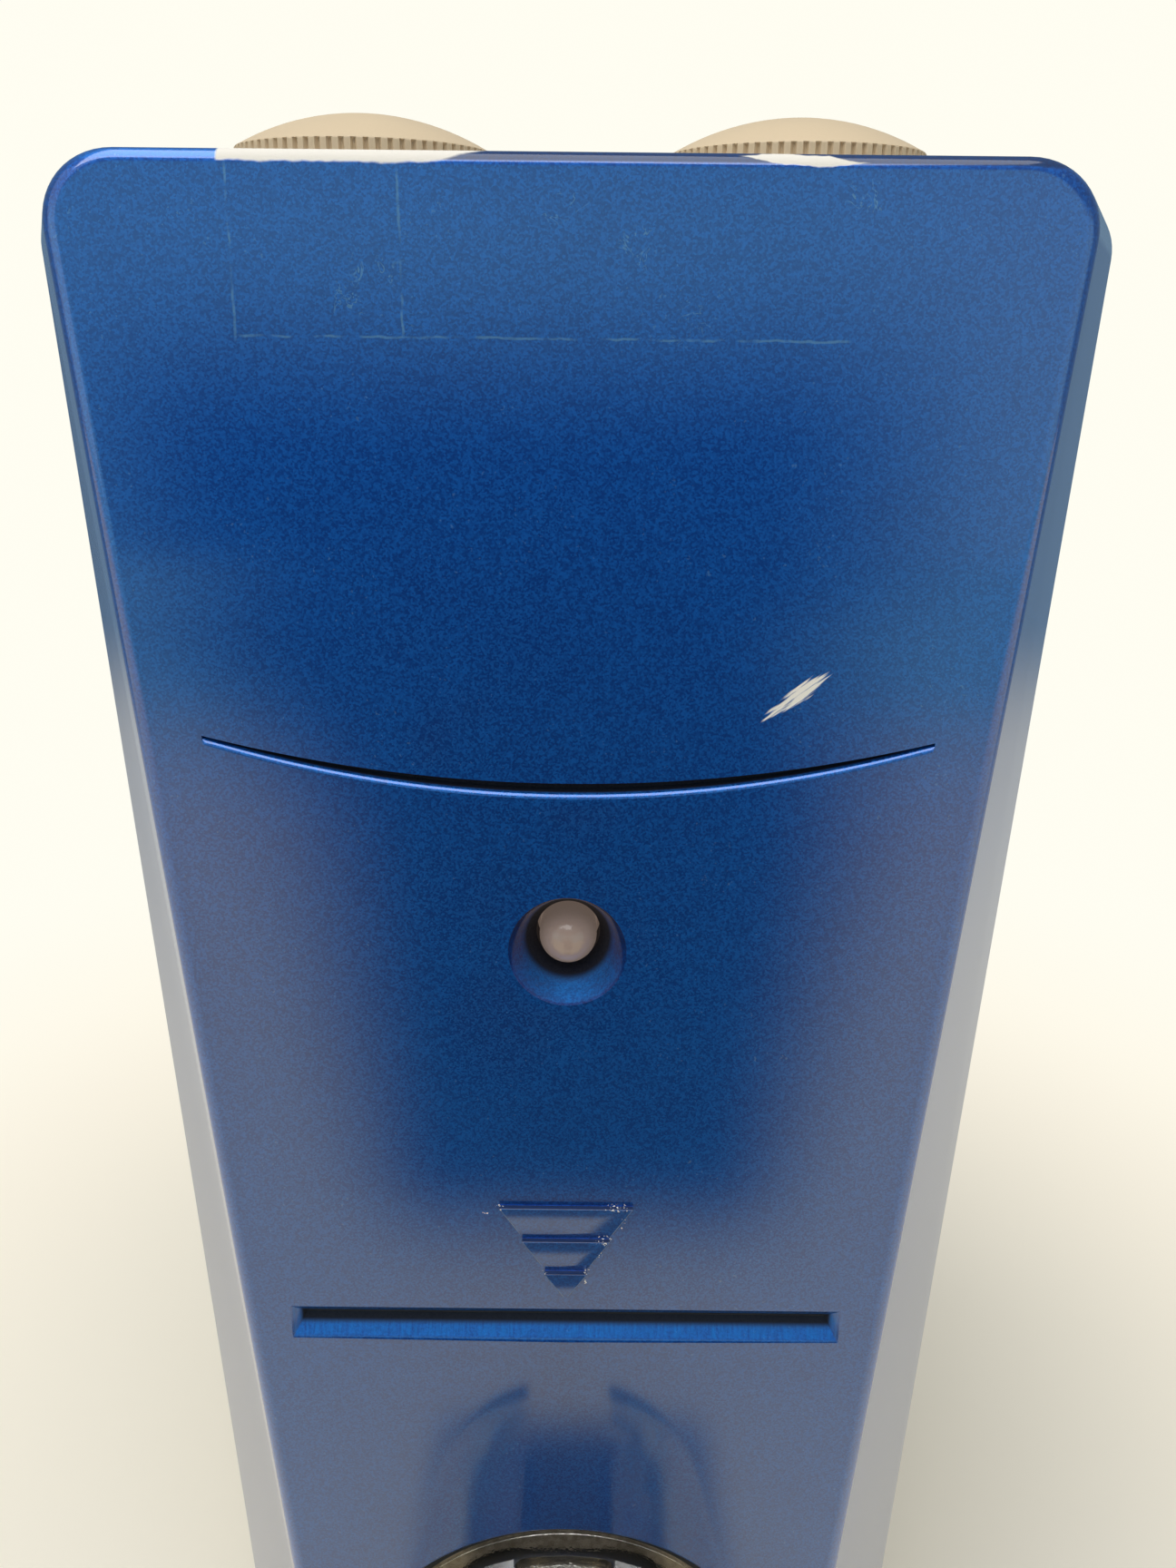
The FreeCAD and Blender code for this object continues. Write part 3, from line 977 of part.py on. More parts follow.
def make_rocker():
    frame = body("rocker_frame", ROCKER)
    edge = "bezel_edge"
    bezel = rounded(facing(frame, "bezel", "-bezel_thick"), box_corners(
        f"-rocker_half - {edge}", f"-rocker_tall - {edge}", f"rocker_half + {edge}", f"rocker_tall + {edge}"),
        "bezel_edge")
    pad(frame, "bezel_pad", bezel, "bezel_thick")
    half, tall = "rocker_half - slide_gap", "(rocker_tall - slide_gap)"
    case = outline(facing(frame, "case"), box_corners(f"-({half})", f"-{tall}", half, tall))
    pad(frame, "case_pad", case, "rocker_deep")
    mouth = outline(facing(frame, "mouth", "-bezel_thick"), box_corners(
        "-paddle_half - fit_gap", "-paddle_tall - paddle_gap", "paddle_half + fit_gap",
        "paddle_tall + paddle_gap"))
    pocket(frame, "mouth_cut", mouth, "bezel_thick + paddle_tall", Reversed=True)
    pivot = Placement(Vector(0, -number("paddle_sink"), 0), Rotation(X_AXIS, number("rocker_tilt")))
    paddle = body("rocker_paddle", ROCKER * pivot)
    face, waist = "paddle_rise", "(paddle_rise - bezel_edge)"
    profile = outline(sketch_on(paddle, "profile", "YZ_Plane"), [
        (face, "-paddle_tall"), (face, "paddle_tall"), ("-bezel_edge", "paddle_tall"),
        ("-paddle_tall / 2", "paddle_tall / 2"), ("-paddle_tall / 2", "-paddle_tall / 2"),
        ("-bezel_edge", "-paddle_tall")], {0: "-paddle_curve"})
    feature(paddle, "Pad", "profile_pad", profile, {"Length": "2 * paddle_half"}, SideType="Symmetric")
    long = number("paddle_tall")
    soften(paddle, "face_edge", "Fillet",
           lambda at: abs(abs(at.z) - long) < 1e-4 and abs(at.y - number(face)) < 1e-4, "fit_gap")


# ---------------------------------------------------------------- chassis and electronics

CHASSIS_BACK = "(chassis_setback + chassis_thick)"
CHASSIS_TOP = f"({TOP} - chassis_top_drop)"
CHASSIS_SCREWS = (both_sides("chassis_half_low - screw_edge", "chassis_low + screw_edge")
                  + both_sides("chassis_half_top - screw_edge", f"{CHASSIS_TOP} - screw_edge"))
RF_BACK = "(chassis_setback - standoff_long)"
RF_FRONT = f"({RF_BACK} - board_thick)"
RF_LOW = f"({TOP} - head_drop * cos(lean_angle) + rf_board_rise)"
POWER_FRONT = f"({CHASSIS_BACK} + standoff_long)"
POWER_BACK = f"({POWER_FRONT} + board_thick)"
POWER_LOW = "(rocker_height + rocker_tall + power_board_gap)"


def make_chassis():
    plate = body("chassis_plate")
    sheet_form = outline(facing(plate, "sheet", "-chassis_setback"), [
        ("-chassis_half_low", "chassis_low"), ("chassis_half_low", "chassis_low"),
        ("chassis_half_top", CHASSIS_TOP), ("-chassis_half_top", CHASSIS_TOP)])
    pad(plate, "sheet_pad", sheet_form, "chassis_thick", Reversed=True)
    lip = outline(facing(plate, "lip", "-chassis_setback"), box_corners(
        "-post_low_half", "chassis_low + 2 * post_radius", "post_low_half",
        "chassis_low + 2 * post_radius + chassis_thick"))
    pad(plate, "stiffening_lip", lip, "3 * post_radius")
    holes = circles(facing(plate, "holes"), CHASSIS_SCREWS, SCREW_HOLE)
    through(plate, "hole", holes)
    clear = circles(facing(plate, "post_clearance"), POST_LOW, "post_radius + edge_round")
    through(plate, "post_cut", clear)
    screws = [machine_screw(x, "chassis_setback", z, "3 * post_radius", ALONG_Y) for x, z in CHASSIS_SCREWS]
    keep(group(*screws), "chassis_screws")


def make_boards():
    """Two circuit boards on hexagonal standoffs, one on each side of the chassis plate."""
    hexes, screws = [], []
    hole = "board_screw + slide_gap"
    boards = (("rf_board", RF_LOW, "rf_board_tall", RF_FRONT, RF_BACK, RF_FRONT, ALONG_Y),
              ("power_board", POWER_LOW, "power_board_tall", POWER_FRONT, CHASSIS_BACK, POWER_BACK, OUTWARDS))
    for name, low, tall, front, post_at, head_at, way in boards:
        places = both_sides("board_half - board_margin", f"{low} + board_margin")
        places += both_sides("board_half - board_margin", f"{low} + {tall} - board_margin")
        holes = [rod(x, front, z, hole, "board_thick", ALONG_Y) for x, z in places]
        keep(cut(box("-board_half", front, low, "2 * board_half", "board_thick", tall), *holes), name)
        for x, z in places:
            post = hexagon(x, post_at, z, "standoff_width", "standoff_long", ALONG_Y)
            hexes.append(cut(post, rod(x, post_at, z, hole, "standoff_long", ALONG_Y)))
            screws.append(machine_screw(x, head_at, z, "board_screw_bite + board_thick", way, "board_screw"))
    keep(group(*hexes), "board_standoffs")
    keep(group(*screws), "board_screws")


def make_rf_parts():
    """The tank coil on its former, the tuning capacitor, and the power transistor with its heat sink."""
    wire, axis = number("tank_wire"), f"({RF_FRONT} - tank_out)"
    low = f"({RF_LOW} + former_rise)"
    bobbin = f"({low} + former_cheek)"
    spot = Vector(0, number(axis), number(f"{bobbin} + (former_length - tank_length) / 2"))
    coil = coil_spring(number("tank_radius"), wire, number("tank_length"), number("tank_turns"),
                       Placement(spot, Rotation()))
    keep(shape_of(coil), "tank_coil")
    cheeks = [box("-former_half", f"{axis} - tank_radius", z, "2 * former_half", "tank_out + tank_radius",
                  "former_cheek") for z in (low, f"{bobbin} + former_length")]
    tube = rod("0", axis, bobbin, "tank_radius - tank_wire - former_gap", "former_length")
    keep(fuse(tube, *cheeks), "coil_former")

    low = f"({bobbin} + former_length + former_cheek + tuner_gap)"
    case = box("-tuner_half", f"{RF_FRONT} - tuner_deep", low, "2 * tuner_half", "tuner_deep", "tuner_tall")
    trimmer = rod("0", f"{RF_FRONT} - tuner_deep - trimmer_high", f"{low} + tuner_tall / 2", "trimmer_radius",
                  "trimmer_high", ALONG_Y)
    keep(fuse(case, trimmer), "tuning_capacitor")

    keep(box("-device_half", f"{RF_FRONT} - device_deep", f"{RF_LOW} + device_rise", "2 * device_half",
             "device_deep", "device_tall"), "power_transistor")
    low, front = f"{RF_LOW} + sink_rise", f"({RF_FRONT} - device_deep - sink_plate)"
    plate = box("-sink_half", front, low, "2 * sink_half", "sink_plate", "sink_tall")
    middle = (SIZES["fin_count"] - 1) / 2
    fins = [box(f"{place - middle} * fin_pitch - fin_thick / 2", f"{front} - fin_deep", low, "fin_thick",
                "fin_deep", "sink_tall") for place in range(SIZES["fin_count"])]
    keep(fuse(plate, *fins), "heat_sink")


def make_power_parts():
    """The transformer's core and windings, and two capacitors."""
    low = f"({POWER_LOW} + core_rise)"
    window_wide, window_tall = "core_half - core_leg - core_centre", "core_tall - 2 * core_leg"
    sides = ("core_centre", "core_leg - core_half")
    windows = [box(x, POWER_BACK, f"{low} + core_leg", window_wide, "core_deep", window_tall) for x in sides]
    core = box("-core_half", POWER_BACK, low, "2 * core_half", "core_deep", "core_tall")
    keep(cut(core, *windows), "transformer_core")
    starts = ("core_centre + slide_gap", "-core_centre - slide_gap - winding_thick")
    coils = [box(x, f"{POWER_BACK} + winding_gap", f"{low} + core_leg + winding_gap", "winding_thick",
                 "core_deep - 2 * winding_gap", f"{window_tall} - 2 * winding_gap") for x in starts]
    keep(group(*coils), "transformer_winding")
    cans = [rod(x, POWER_BACK, z, "capacitor_radius", "capacitor_long", ALONG_Y)
            for x, z in both_sides("capacitor_place", f"{POWER_LOW} + capacitor_rise")]
    keep(group(*cans), "capacitors")


# ---------------------------------------------------------------- fasteners of the housing and head

def make_screws():
    long = []
    under_head = "housing_depth - hole_depth"
    for places, drop in ((POST_TOP, "post_top_drop"), (POST_LOW, LOW_POST_DROP)):
        reach = f"{under_head} - shell_depth / 3 + {drop} * tan(lean_angle)"
        long += [machine_screw(x, under_head, z, reach, OUTWARDS) for x, z in places]
    keep(group(*long), "housing_screws")
    ears = [machine_screw("0", PLATE_BACK, z, "plate_thick + plate_screw_bite", OUTWARDS)
            for z in (EAR_PLACE, f"-{EAR_PLACE}")]
    keep(group(*ears), "plate_screws", HEAD)
    reach = f"{FRAME_BACK} + head_nut_height - recess_depth"
    through_head = [fuse(rod(x, "recess_depth", z, "screw_radius", reach, ALONG_Y),
                         hexagon(x, FRAME_BACK, z, "head_nut_width", "head_nut_height", ALONG_Y))
                    for x, z in HEAD_SCREWS]
    keep(group(*through_head), "head_screws", HEAD)


def check():
    doc.recompute()
    for item in doc.Objects:
        if "Invalid" in item.State or "Error" in item.State:
            raise ValueError(f"{item.Label} is {item.State}")
    for label, item in PARTS.items():
        if item.Shape.isNull() or not item.Shape.isValid() or item.Shape.Volume <= 0:
            raise ValueError(f"{label} has no sound shape")


def main():
    make_front_shell()
    make_rear_shell()
    make_feet()
    make_head_plate()
    make_head_body()
    make_fixed_electrode()
    make_head_frame()
    make_jaw()
    make_solenoid()
    make_trigger()
    make_guard()
    make_seal()
    make_led()
    nuts = []
    for side, name in ((-1, "time"), (1, "power")):
        make_knob(side, name + "_knob")
        nuts.append(make_pot(side, name))
    keep(group(*nuts), "pot_nuts")
    make_inlet()
    make_rocker()
    make_chassis()
    make_boards()
    make_rf_parts()
    make_power_parts()
    make_screws()
    check()
    os.makedirs("parts", exist_ok=True)
    for label, item in PARTS.items():
        item.Shape.exportStep(f"parts/{label}.step")
        print(f"{label:20s} solids {len(item.Shape.Solids):2d}  volume {item.Shape.Volume:10.1f}")


main()
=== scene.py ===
"""Looks of a bench-top radio-frequency tube sealer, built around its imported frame.

Laid out as an add-on: sizes and colours in property groups, one operator for each piece or group of
like pieces, and a panel that lists them. Lengths are in metres. The base frame has +X to the right, +Y to
the back and +Z up. The panel frame starts at the middle of the leaning panel's top edge, with X to the
right, Y into the housing, square to the panel, and Z up along it; a "drop" is a distance down from that edge.
"""

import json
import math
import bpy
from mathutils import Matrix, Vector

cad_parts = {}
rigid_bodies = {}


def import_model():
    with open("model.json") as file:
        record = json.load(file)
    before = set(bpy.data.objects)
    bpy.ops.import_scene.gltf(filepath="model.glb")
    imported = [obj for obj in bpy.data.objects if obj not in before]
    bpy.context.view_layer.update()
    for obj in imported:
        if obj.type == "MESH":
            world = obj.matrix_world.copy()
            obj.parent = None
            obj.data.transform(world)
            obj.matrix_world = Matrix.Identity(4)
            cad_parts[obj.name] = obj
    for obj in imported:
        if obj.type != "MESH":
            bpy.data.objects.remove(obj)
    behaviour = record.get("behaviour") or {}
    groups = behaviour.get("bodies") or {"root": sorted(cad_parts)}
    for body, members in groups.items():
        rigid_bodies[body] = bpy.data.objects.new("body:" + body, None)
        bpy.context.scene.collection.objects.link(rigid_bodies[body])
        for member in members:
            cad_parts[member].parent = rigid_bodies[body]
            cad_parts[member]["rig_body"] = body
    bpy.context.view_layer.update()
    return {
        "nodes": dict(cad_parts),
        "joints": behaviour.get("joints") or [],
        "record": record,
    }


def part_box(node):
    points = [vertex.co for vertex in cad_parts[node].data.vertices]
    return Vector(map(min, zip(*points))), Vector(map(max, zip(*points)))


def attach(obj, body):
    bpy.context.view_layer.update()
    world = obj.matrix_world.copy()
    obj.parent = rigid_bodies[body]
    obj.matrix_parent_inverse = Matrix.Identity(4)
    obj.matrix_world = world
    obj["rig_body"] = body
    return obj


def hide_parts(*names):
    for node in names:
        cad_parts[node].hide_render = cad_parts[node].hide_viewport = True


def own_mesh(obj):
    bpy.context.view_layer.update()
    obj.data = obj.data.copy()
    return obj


bl_info = {
    "name": "Tube sealer",
    "version": (1, 0, 0),
    "blender": (4, 5, 0),
    "location": "3D View > Sidebar > Tube sealer",
    "description": "Models and finishes a bench-top tube sealer around its frame",
    "category": "Object",
}

from contextlib import contextmanager

import bmesh
import bpy
from bpy.props import FloatProperty, FloatVectorProperty, IntProperty, PointerProperty
from mathutils import Matrix, Vector

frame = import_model()

JOINTS = {joint["name"]: joint for joint in frame["joints"]}
BODY_OF = {node: item["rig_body"] for node, item in frame["nodes"].items()}
SLOT_OF = {part["node"]: part["material_slot"] for part in frame["record"]["subparts"]}
RIGHT, BACK, UP = Vector((1, 0, 0)), Vector((0, 1, 0)), Vector((0, 0, 1))
INWARD = -Vector(JOINTS["guard_pull"]["axis"])
UP_PANEL = RIGHT.cross(INWARD)
LEAN = math.atan2(UP_PANEL.y, UP_PANEL.z)
MM = 0.001
NEAR = 1e-6
OVER = 1 * MM
SPRING_GAP = 0.1 * MM
SCREW_HOLE = 1.55 * MM
FRONT_LOW, FRONT_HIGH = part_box("front_shell")
REAR_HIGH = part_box("rear_shell")[1]


# ---------------------------------------------------------------- settings

def length(name, description, millimetres):
    return FloatProperty(name=name, description=description, default=millimetres * MM, unit="LENGTH",
                         precision=5)


def angle(name, description, degrees):
    return FloatProperty(name=name, description=description, default=math.radians(degrees), unit="ROTATION")


def colour(name, description, default):
    return FloatVectorProperty(name=name, description=description, default=default, subtype="COLOR", size=3,
                               min=0, max=1)


def count(name, description, default):
    return IntProperty(name=name, description=description, default=default, min=1)


class HousingSettings(bpy.types.PropertyGroup):
    depth: length("Housing depth", "From the panel's top edge to the back wall", 115)
    half_top: length("Panel half width, top", "Half the panel's width at its top edge", 37.3)
    half_low: length("Panel half width, bottom", "Half the panel's width at its bottom edge", 23.3)
    flare_top: length("Flare, top", "How far the side wall stands out at the parting line, at the top", 13)
    flare_low: length("Flare, bottom", "The same at the bottom", 18.7)
    shell_depth: length("Front shell depth", "From the panel to the parting line", 30)
    wall: length("Wall", "Thickness of the moulded walls", 2.8)
    corner: length("Corner radius", "Radius of the long corners", 5)
    edge: length("Edge radius", "Radius of the edge round the panel", 1)
    back_edge: length("Back edge radius", "Radius of the edge round the back wall", 5)
    seam: length("Seam step", "How far the rear shell stands in from the front shell", 0.4)
    post: length("Post radius", "Radius of the screw posts inside", 4)
    post_gap: length("Post gap", "From a post's front end to the parting line", 0.2)
    sink: length("Sunk hole radius", "Radius of the hole for a screw's head", 3.2)
    sink_deep: length("Sunk hole depth", "Depth of that hole", 6)
    shaft_hole: length("Shaft hole radius", "Radius of the hole for a knob's shaft", 3.55)
    vents: count("Vents", "Number of slots in the back wall", 9)
    vent_pitch: length("Vent pitch", "From one slot to the next", 5.4)
    vent_start: length("Vent start", "Height of the lowest slot", 118)
    vent_half: length("Vent half width", "Half the length of a slot", 22)
    vent_width: length("Vent height", "Height of a slot", 2.6)


class PanelSettings(bpy.types.PropertyGroup):
    smile_half: length("Crescent half width", "Half the width of the crescent cut", 29.2)
    smile_end: length("Crescent end drop", "Drop of its lower edge at the ends", 42.4)
    smile_low: length("Crescent low drop", "Drop of its lower edge in the middle", 46.8)
    smile_wide: length("Crescent height", "Height of the cut in the middle", 1.1)
    smile_tip: length("Crescent tip height", "Height of the cut at its ends", 0.4)
    smile_deep: length("Crescent depth", "Depth of the cut", 0.8)
    smile_slope: length("Crescent slope", "How far its lower wall slopes in", 0.45)
    lamp_drop: length("Lamp drop", "Drop of the ready lamp's middle", 60.7)
    bowl_radius: length("Bowl radius", "Radius of the bowl round the lamp", 5)
    bowl_deep: length("Bowl depth", "Depth of the bowl", 4.5)
    bowl_curve: length("Bowl curve", "Radius of the bowl's section", 30)
    lamp_radius: length("Lamp radius", "Radius of the lamp", 2.5)
    boss: length("Boss radius", "Radius of the boss behind the lamp", 6.5)
    boss_deep: length("Boss depth", "From the panel to the boss's end", 7)
    arrow_drop: length("Arrow drop", "Drop of the arrow's top edge", 86.1)
    arrow_half: length("Arrow half width", "Half the width of its top bar", 6.1)
    arrow_tall: length("Arrow height", "From its top edge to its tip", 10.6)
    bar_pitch: length("Bar pitch", "From one bar's top edge to the next", 3.6)
    bar_tall: length("Bar height", "Height of one bar", 3.3)
    bar_rise: length("Bar rise", "How far a bar stands out at its top edge", 0.6)
    bar_edge: length("Bar edge", "Radius of a bar's edges", 0.07)
    groove_drop: length("Groove drop", "Drop of the groove's upper edge", 97.7)
    groove_half: length("Groove half width", "Half the groove's width", 25.9)
    groove_tall: length("Groove height", "Height of the groove", 3.7)
    groove_deep: length("Groove depth", "Depth of the groove", 1.3)
    groove_ridge: length("Groove ridge", "From the upper edge down to the deepest line", 1.6)
    groove_hip: length("Groove hip", "How far the groove's ends slope in", 1.2)
    head_drop: length("Head drop", "Drop of the sealing head's middle", 147.2)
    recess: length("Recess radius", "Radius of the round recess", 21.806)
    collar: length("Collar wall", "Wall of the collar behind the recess", 2.4)
    recess_deep: length("Recess depth", "From the panel to the metal floor", 4)


class KnobSettings(bpy.types.PropertyGroup):
    radius: length("Radius", "Radius of a knob", 14.45)
    lift: length("Lift", "Clearance under a knob", 0.6)
    rim: length("Rim height", "Height of the rim above the housing", 6.1)
    dome: length("Dome height", "Height of the dome above the rim", 3.7)
    land: length("Rim land", "From the top of the ribs to the rim", 0.2)
    ribs: count("Ribs", "Number of ribs round a knob", 72)
    rib_deep: length("Rib depth", "Depth of the gaps between the ribs", 0.45)
    cavity: length("Cavity radius", "Radius of the space under a knob", 8)
    cavity_tall: length("Cavity height", "Height of that space", 3.4)
    bore: length("Bore radius", "Radius of the hole for the shaft", 3.05)
    bore_top: length("Bore top", "Height of the bore's end above the housing", 8.3)


class GuardSettings(bpy.types.PropertyGroup):
    root: length("Root radius", "Radius of the clear guard at the panel", 20.406)
    front: length("Front radius", "Radius of its front face", 16.006)
    reach: length("Reach", "How far it stands out of the panel", 26)
    seat: length("Seat depth", "How far it goes into the recess", 3.7)
    wall: length("Guard wall", "Thickness of its wall", 1.8)
    slot: length("Slot half width", "Half the width of the slot for the tube", 5)
    rail: length("Rail width", "Width of the rail along each side of the slot", 3.75)
    rail_start: length("Rail start", "Distance of the rails from the middle", 14)
    ring: length("Root ring", "Unslotted ring left at the root", 1)
    seal_deep: length("Seal depth", "Depth of the seal's middle in the recess", 2)
    seal: length("Seal radius", "Radius of the seal's section", 0.75)
    seal_gap: length("Seal gap", "From the seal to the wall of the recess", 0.3)
    seal_play: length("Seal play", "Clearance round the seal in its groove", 0.05)
    edge: length("Outer edge", "Radius of the edge round the front face", 1.2)
    inner_edge: length("Inner edge", "Radius of the same edge inside, and of the slot's corners", 0.8)
    slot_edge: length("Slot edge", "Radius of the edges along the slot", 0.3)


class PaintSettings(bpy.types.PropertyGroup):
    deep: colour("Deep blue", "Colour of the paint between its flakes", (0.002, 0.052, 0.28))
    flake: colour("Flake blue", "Colour of the metallic flakes", (0.006, 0.125, 0.50))
    # Painted highlight: the lighter blue of slopes that face the light, streaky in the groove.
    streak: colour("Streaks", "Colour of the brushed streaks in the groove", (0.015, 0.21, 0.62))
    # This colour also paints the highlight along the arrow's slanted edges.
    mark: colour("Mark", "Colour of fine marks in the paint", (0.14, 0.29, 0.48))
    bare: colour("Bare plastic", "Colour under chipped paint", (0.84, 0.79, 0.70))


class StageSettings(bpy.types.PropertyGroup):
    near: colour("Near floor", "Colour of the table top beside the object", (1.0, 0.93, 0.78))
    floor: colour("Floor", "Colour of the table top further away", (0.95, 0.93, 0.84))
    sky: colour("Backdrop", "Colour behind the table", (1.0, 0.985, 0.885))
    cool: colour("Front of the room", "What glossy surfaces mirror of the room in front", (0.34, 0.72, 0.82))
    window: colour("Right of the room", "What they mirror of the room to the right", (0.55, 0.88, 0.95))
    warm: colour("Table in reflections", "What they mirror of the table in front", (0.97, 0.87, 0.60))
    dim: colour("Rest of the room", "What they mirror of the rest of it", (0.16, 0.25, 0.34))
    # This colour also paints the shadow on the table just in front of the object, in reflections.
    person: colour("Person", "What they mirror of a person at the table", (0.01, 0.01, 0.015))
    even: colour("Even light's colour", "Colour of the even light", (0.85, 0.93, 1.0))
    ambient: FloatProperty(name="Even light", description="Strength of the even light", default=0.25, min=0)
    eye_across: length("Camera across", "Camera's place to the right of the middle", 1.6)
    eye_distance: length("Camera distance", "From the camera to the middle of its view on the panel", 95)
    view_drop: length("View drop", "Drop of that middle", 45.7)
    eye_fall: angle("Camera fall", "How far the camera looks down", 22)
    eye_roll: angle("Camera roll", "How far the camera is tilted sideways", 0.6)
    lens: FloatProperty(name="Lens", description="Focal length in millimetres, on a 36 mm sensor",
                        default=27.08, min=1)


GROUPS = {"sealer_housing": HousingSettings, "sealer_panel": PanelSettings, "sealer_knob": KnobSettings,
          "sealer_guard": GuardSettings, "sealer_paint": PaintSettings, "sealer_stage": StageSettings}


def settings(name):
    return getattr(bpy.context.scene, "sealer_" + name)


# ---------------------------------------------------------------- frames

def frame_at(origin, along_y=BACK):
    """A frame with X to the right and Y along the given direction."""
    basis = Matrix((RIGHT, along_y, RIGHT.cross(along_y))).transposed().to_4x4()
    return Matrix.Translation(origin) @ basis


def panel_frame(drop=0.0):
    """The panel frame, moved down the panel by a drop."""
    top = Vector((0, REAR_HIGH.y - settings("housing").depth, FRONT_HIGH.z))
    return frame_at(top - drop * UP_PANEL, INWARD)


def middle(box):
    low, high = box
    return (low + high) / 2


def main_axis(way):
    return max(range(3), key=lambda index: abs(way[index]))


# ---------------------------------------------------------------- modelling by operators

def take(*items):
    """Leave edit mode and select only these objects; the first is the active one."""
    if bpy.context.mode != "OBJECT":
        bpy.ops.object.mode_set(mode="OBJECT")
    bpy.ops.object.select_all(action="DESELECT")
    for item in items:
        item.select_set(True)
    bpy.context.view_layer.objects.active = items[0] if items else None


def fresh(add, **values):
    """Deselect everything, add something new and return its object."""
    bpy.ops.object.select_all(action="DESELECT")
    add(**values)
    return bpy.context.object


def settle(item, place=None):
    """Put an object's place, or the frame it is moved to, in its mesh."""
    take(item)
    if place is not None:
        item.matrix_world = place
    bpy.ops.object.transform_apply(location=True, rotation=True, scale=True)
    return item


def shift(item, step):
    take(item)
    bpy.ops.transform.translate(value=step)
    return settle(item)


@contextmanager
def editing(item):
    take(item)
    bpy.ops.object.mode_set(mode="EDIT")
    yield
    bpy.ops.object.mode_set(mode="OBJECT")


def pick(item, kind, test):
    """In edit mode, select the vertices, edges or faces that pass the test, and say how many."""
    bpy.ops.mesh.select_mode(type=kind)
    bpy.ops.mesh.select_all(action="DESELECT")
    mesh = bmesh.from_edit_mesh(item.data)
    elements = {"VERT": mesh.verts, "EDGE": mesh.edges, "FACE": mesh.faces}[kind]
    found = [element for element in elements if test(element)]
    for element in found:
        element.select_set(True)
    mesh.select_flush_mode()
    bmesh.update_edit_mesh(item.data)
    if not found:
        raise ValueError(f"{item.name}: nothing to select")
    return len(found)


def ends(edge):
    return edge.verts[0].co, edge.verts[1].co


def is_sharp(edge, degrees=30):
    return len(edge.link_faces) == 2 and edge.calc_face_angle(0) > math.radians(degrees)


def level(edge, depth=0.0):
    """Whether an edge lies at one place along Y."""
    return all(abs(spot.y - depth) < NEAR for spot in ends(edge))


def along(edge, axis, share=0.98):
    first, last = ends(edge)
    return abs((last - first).normalized()[axis]) > share


def bevel(item, width, segments, test):
    """Round the edges that pass the test."""
    with editing(item):
        pick(item, "EDGE", test)
        bpy.ops.mesh.bevel(offset=width, segments=segments, affect="EDGES", clamp_overlap=True)


def modify(item, kind, **values):
    """Add a modifier and apply it at once."""
    take(item)
    modifier = item.modifiers.new(kind.title(), kind)
    for key, value in values.items():
        setattr(modifier, key, value)
    bpy.ops.object.modifier_apply(modifier=modifier.name)
    return item


def carve(item, *tools, operation="DIFFERENCE"):
    for tool in tools:
        modify(item, "BOOLEAN", object=tool, operation=operation, solver="EXACT")
        if not item.data.polygons:
            raise ValueError(f"{item.name}: nothing is left")
        bpy.data.objects.remove(tool)
    return item


def join(*items):
    take(*items)
    bpy.ops.object.join()
    return items[0]


def again(item, move):
    """A copy with a mesh of its own, moved."""
    take(item)
    bpy.ops.object.duplicate()
    return shift(bpy.context.object, move)


def block(corners):
    """A cube whose eight corners are moved one by one: keys are their signs along X, Y and Z."""
    item = fresh(bpy.ops.mesh.primitive_cube_add, size=2)
    with editing(item):
        for signs, place in corners.items():
            corner = Vector(signs)
            pick(item, "VERT", lambda vert: (vert.co - corner).length < NEAR)
            bpy.ops.transform.translate(value=Vector(place) - corner)
    return item


def hopper(outer, inner, deep, over=0.5 * MM):
    """A cutter that narrows from one outline at the panel's face to another at a depth. Each outline holds
    the half widths and heights of its upper and lower edges: ((half, z), (half, z))."""
    corners = {}
    for up, (half, height), (inner_half, inner_height) in zip((1, -1), outer, inner):
        share = -over / deep
        for side in (-1, 1):
            corners[side, -1, up] = (side * (half + (inner_half - half) * share), -over,
                                     height + (inner_height - height) * share)
            corners[side, 1, up] = (side * inner_half, deep, inner_height)
    return block(corners)


def brick(low, high, radius=0.0, segments=6, axis=1):
    """A block between two corners, with its four edges along an axis rounded."""
    low, high = Vector(low), Vector(high)
    centre = (low + high) / 2
    item = fresh(bpy.ops.mesh.primitive_cube_add, size=1, location=centre)
    with editing(item):
        bpy.ops.transform.resize(value=high - low, center_override=tuple(centre))
    settle(item)
    if radius:
        bevel(item, radius, segments, lambda edge: along(edge, axis))
    return item


def cylinder(radius, start, end, axis=1, across=(0, 0), steps=96, end_radius=None):
    """A round bar or cone along an axis, from one place on it to another."""
    turns = ((0, math.pi / 2, 0), (-math.pi / 2, 0, 0), (0, 0, 0))
    others = iter(across)
    centre = [(start + end) / 2 if index == axis else next(others) for index in range(3)]
    return settle(fresh(bpy.ops.mesh.primitive_cone_add, vertices=steps, radius1=radius,
                        radius2=radius if end_radius is None else end_radius, depth=end - start,
                        location=centre, rotation=turns[axis]))


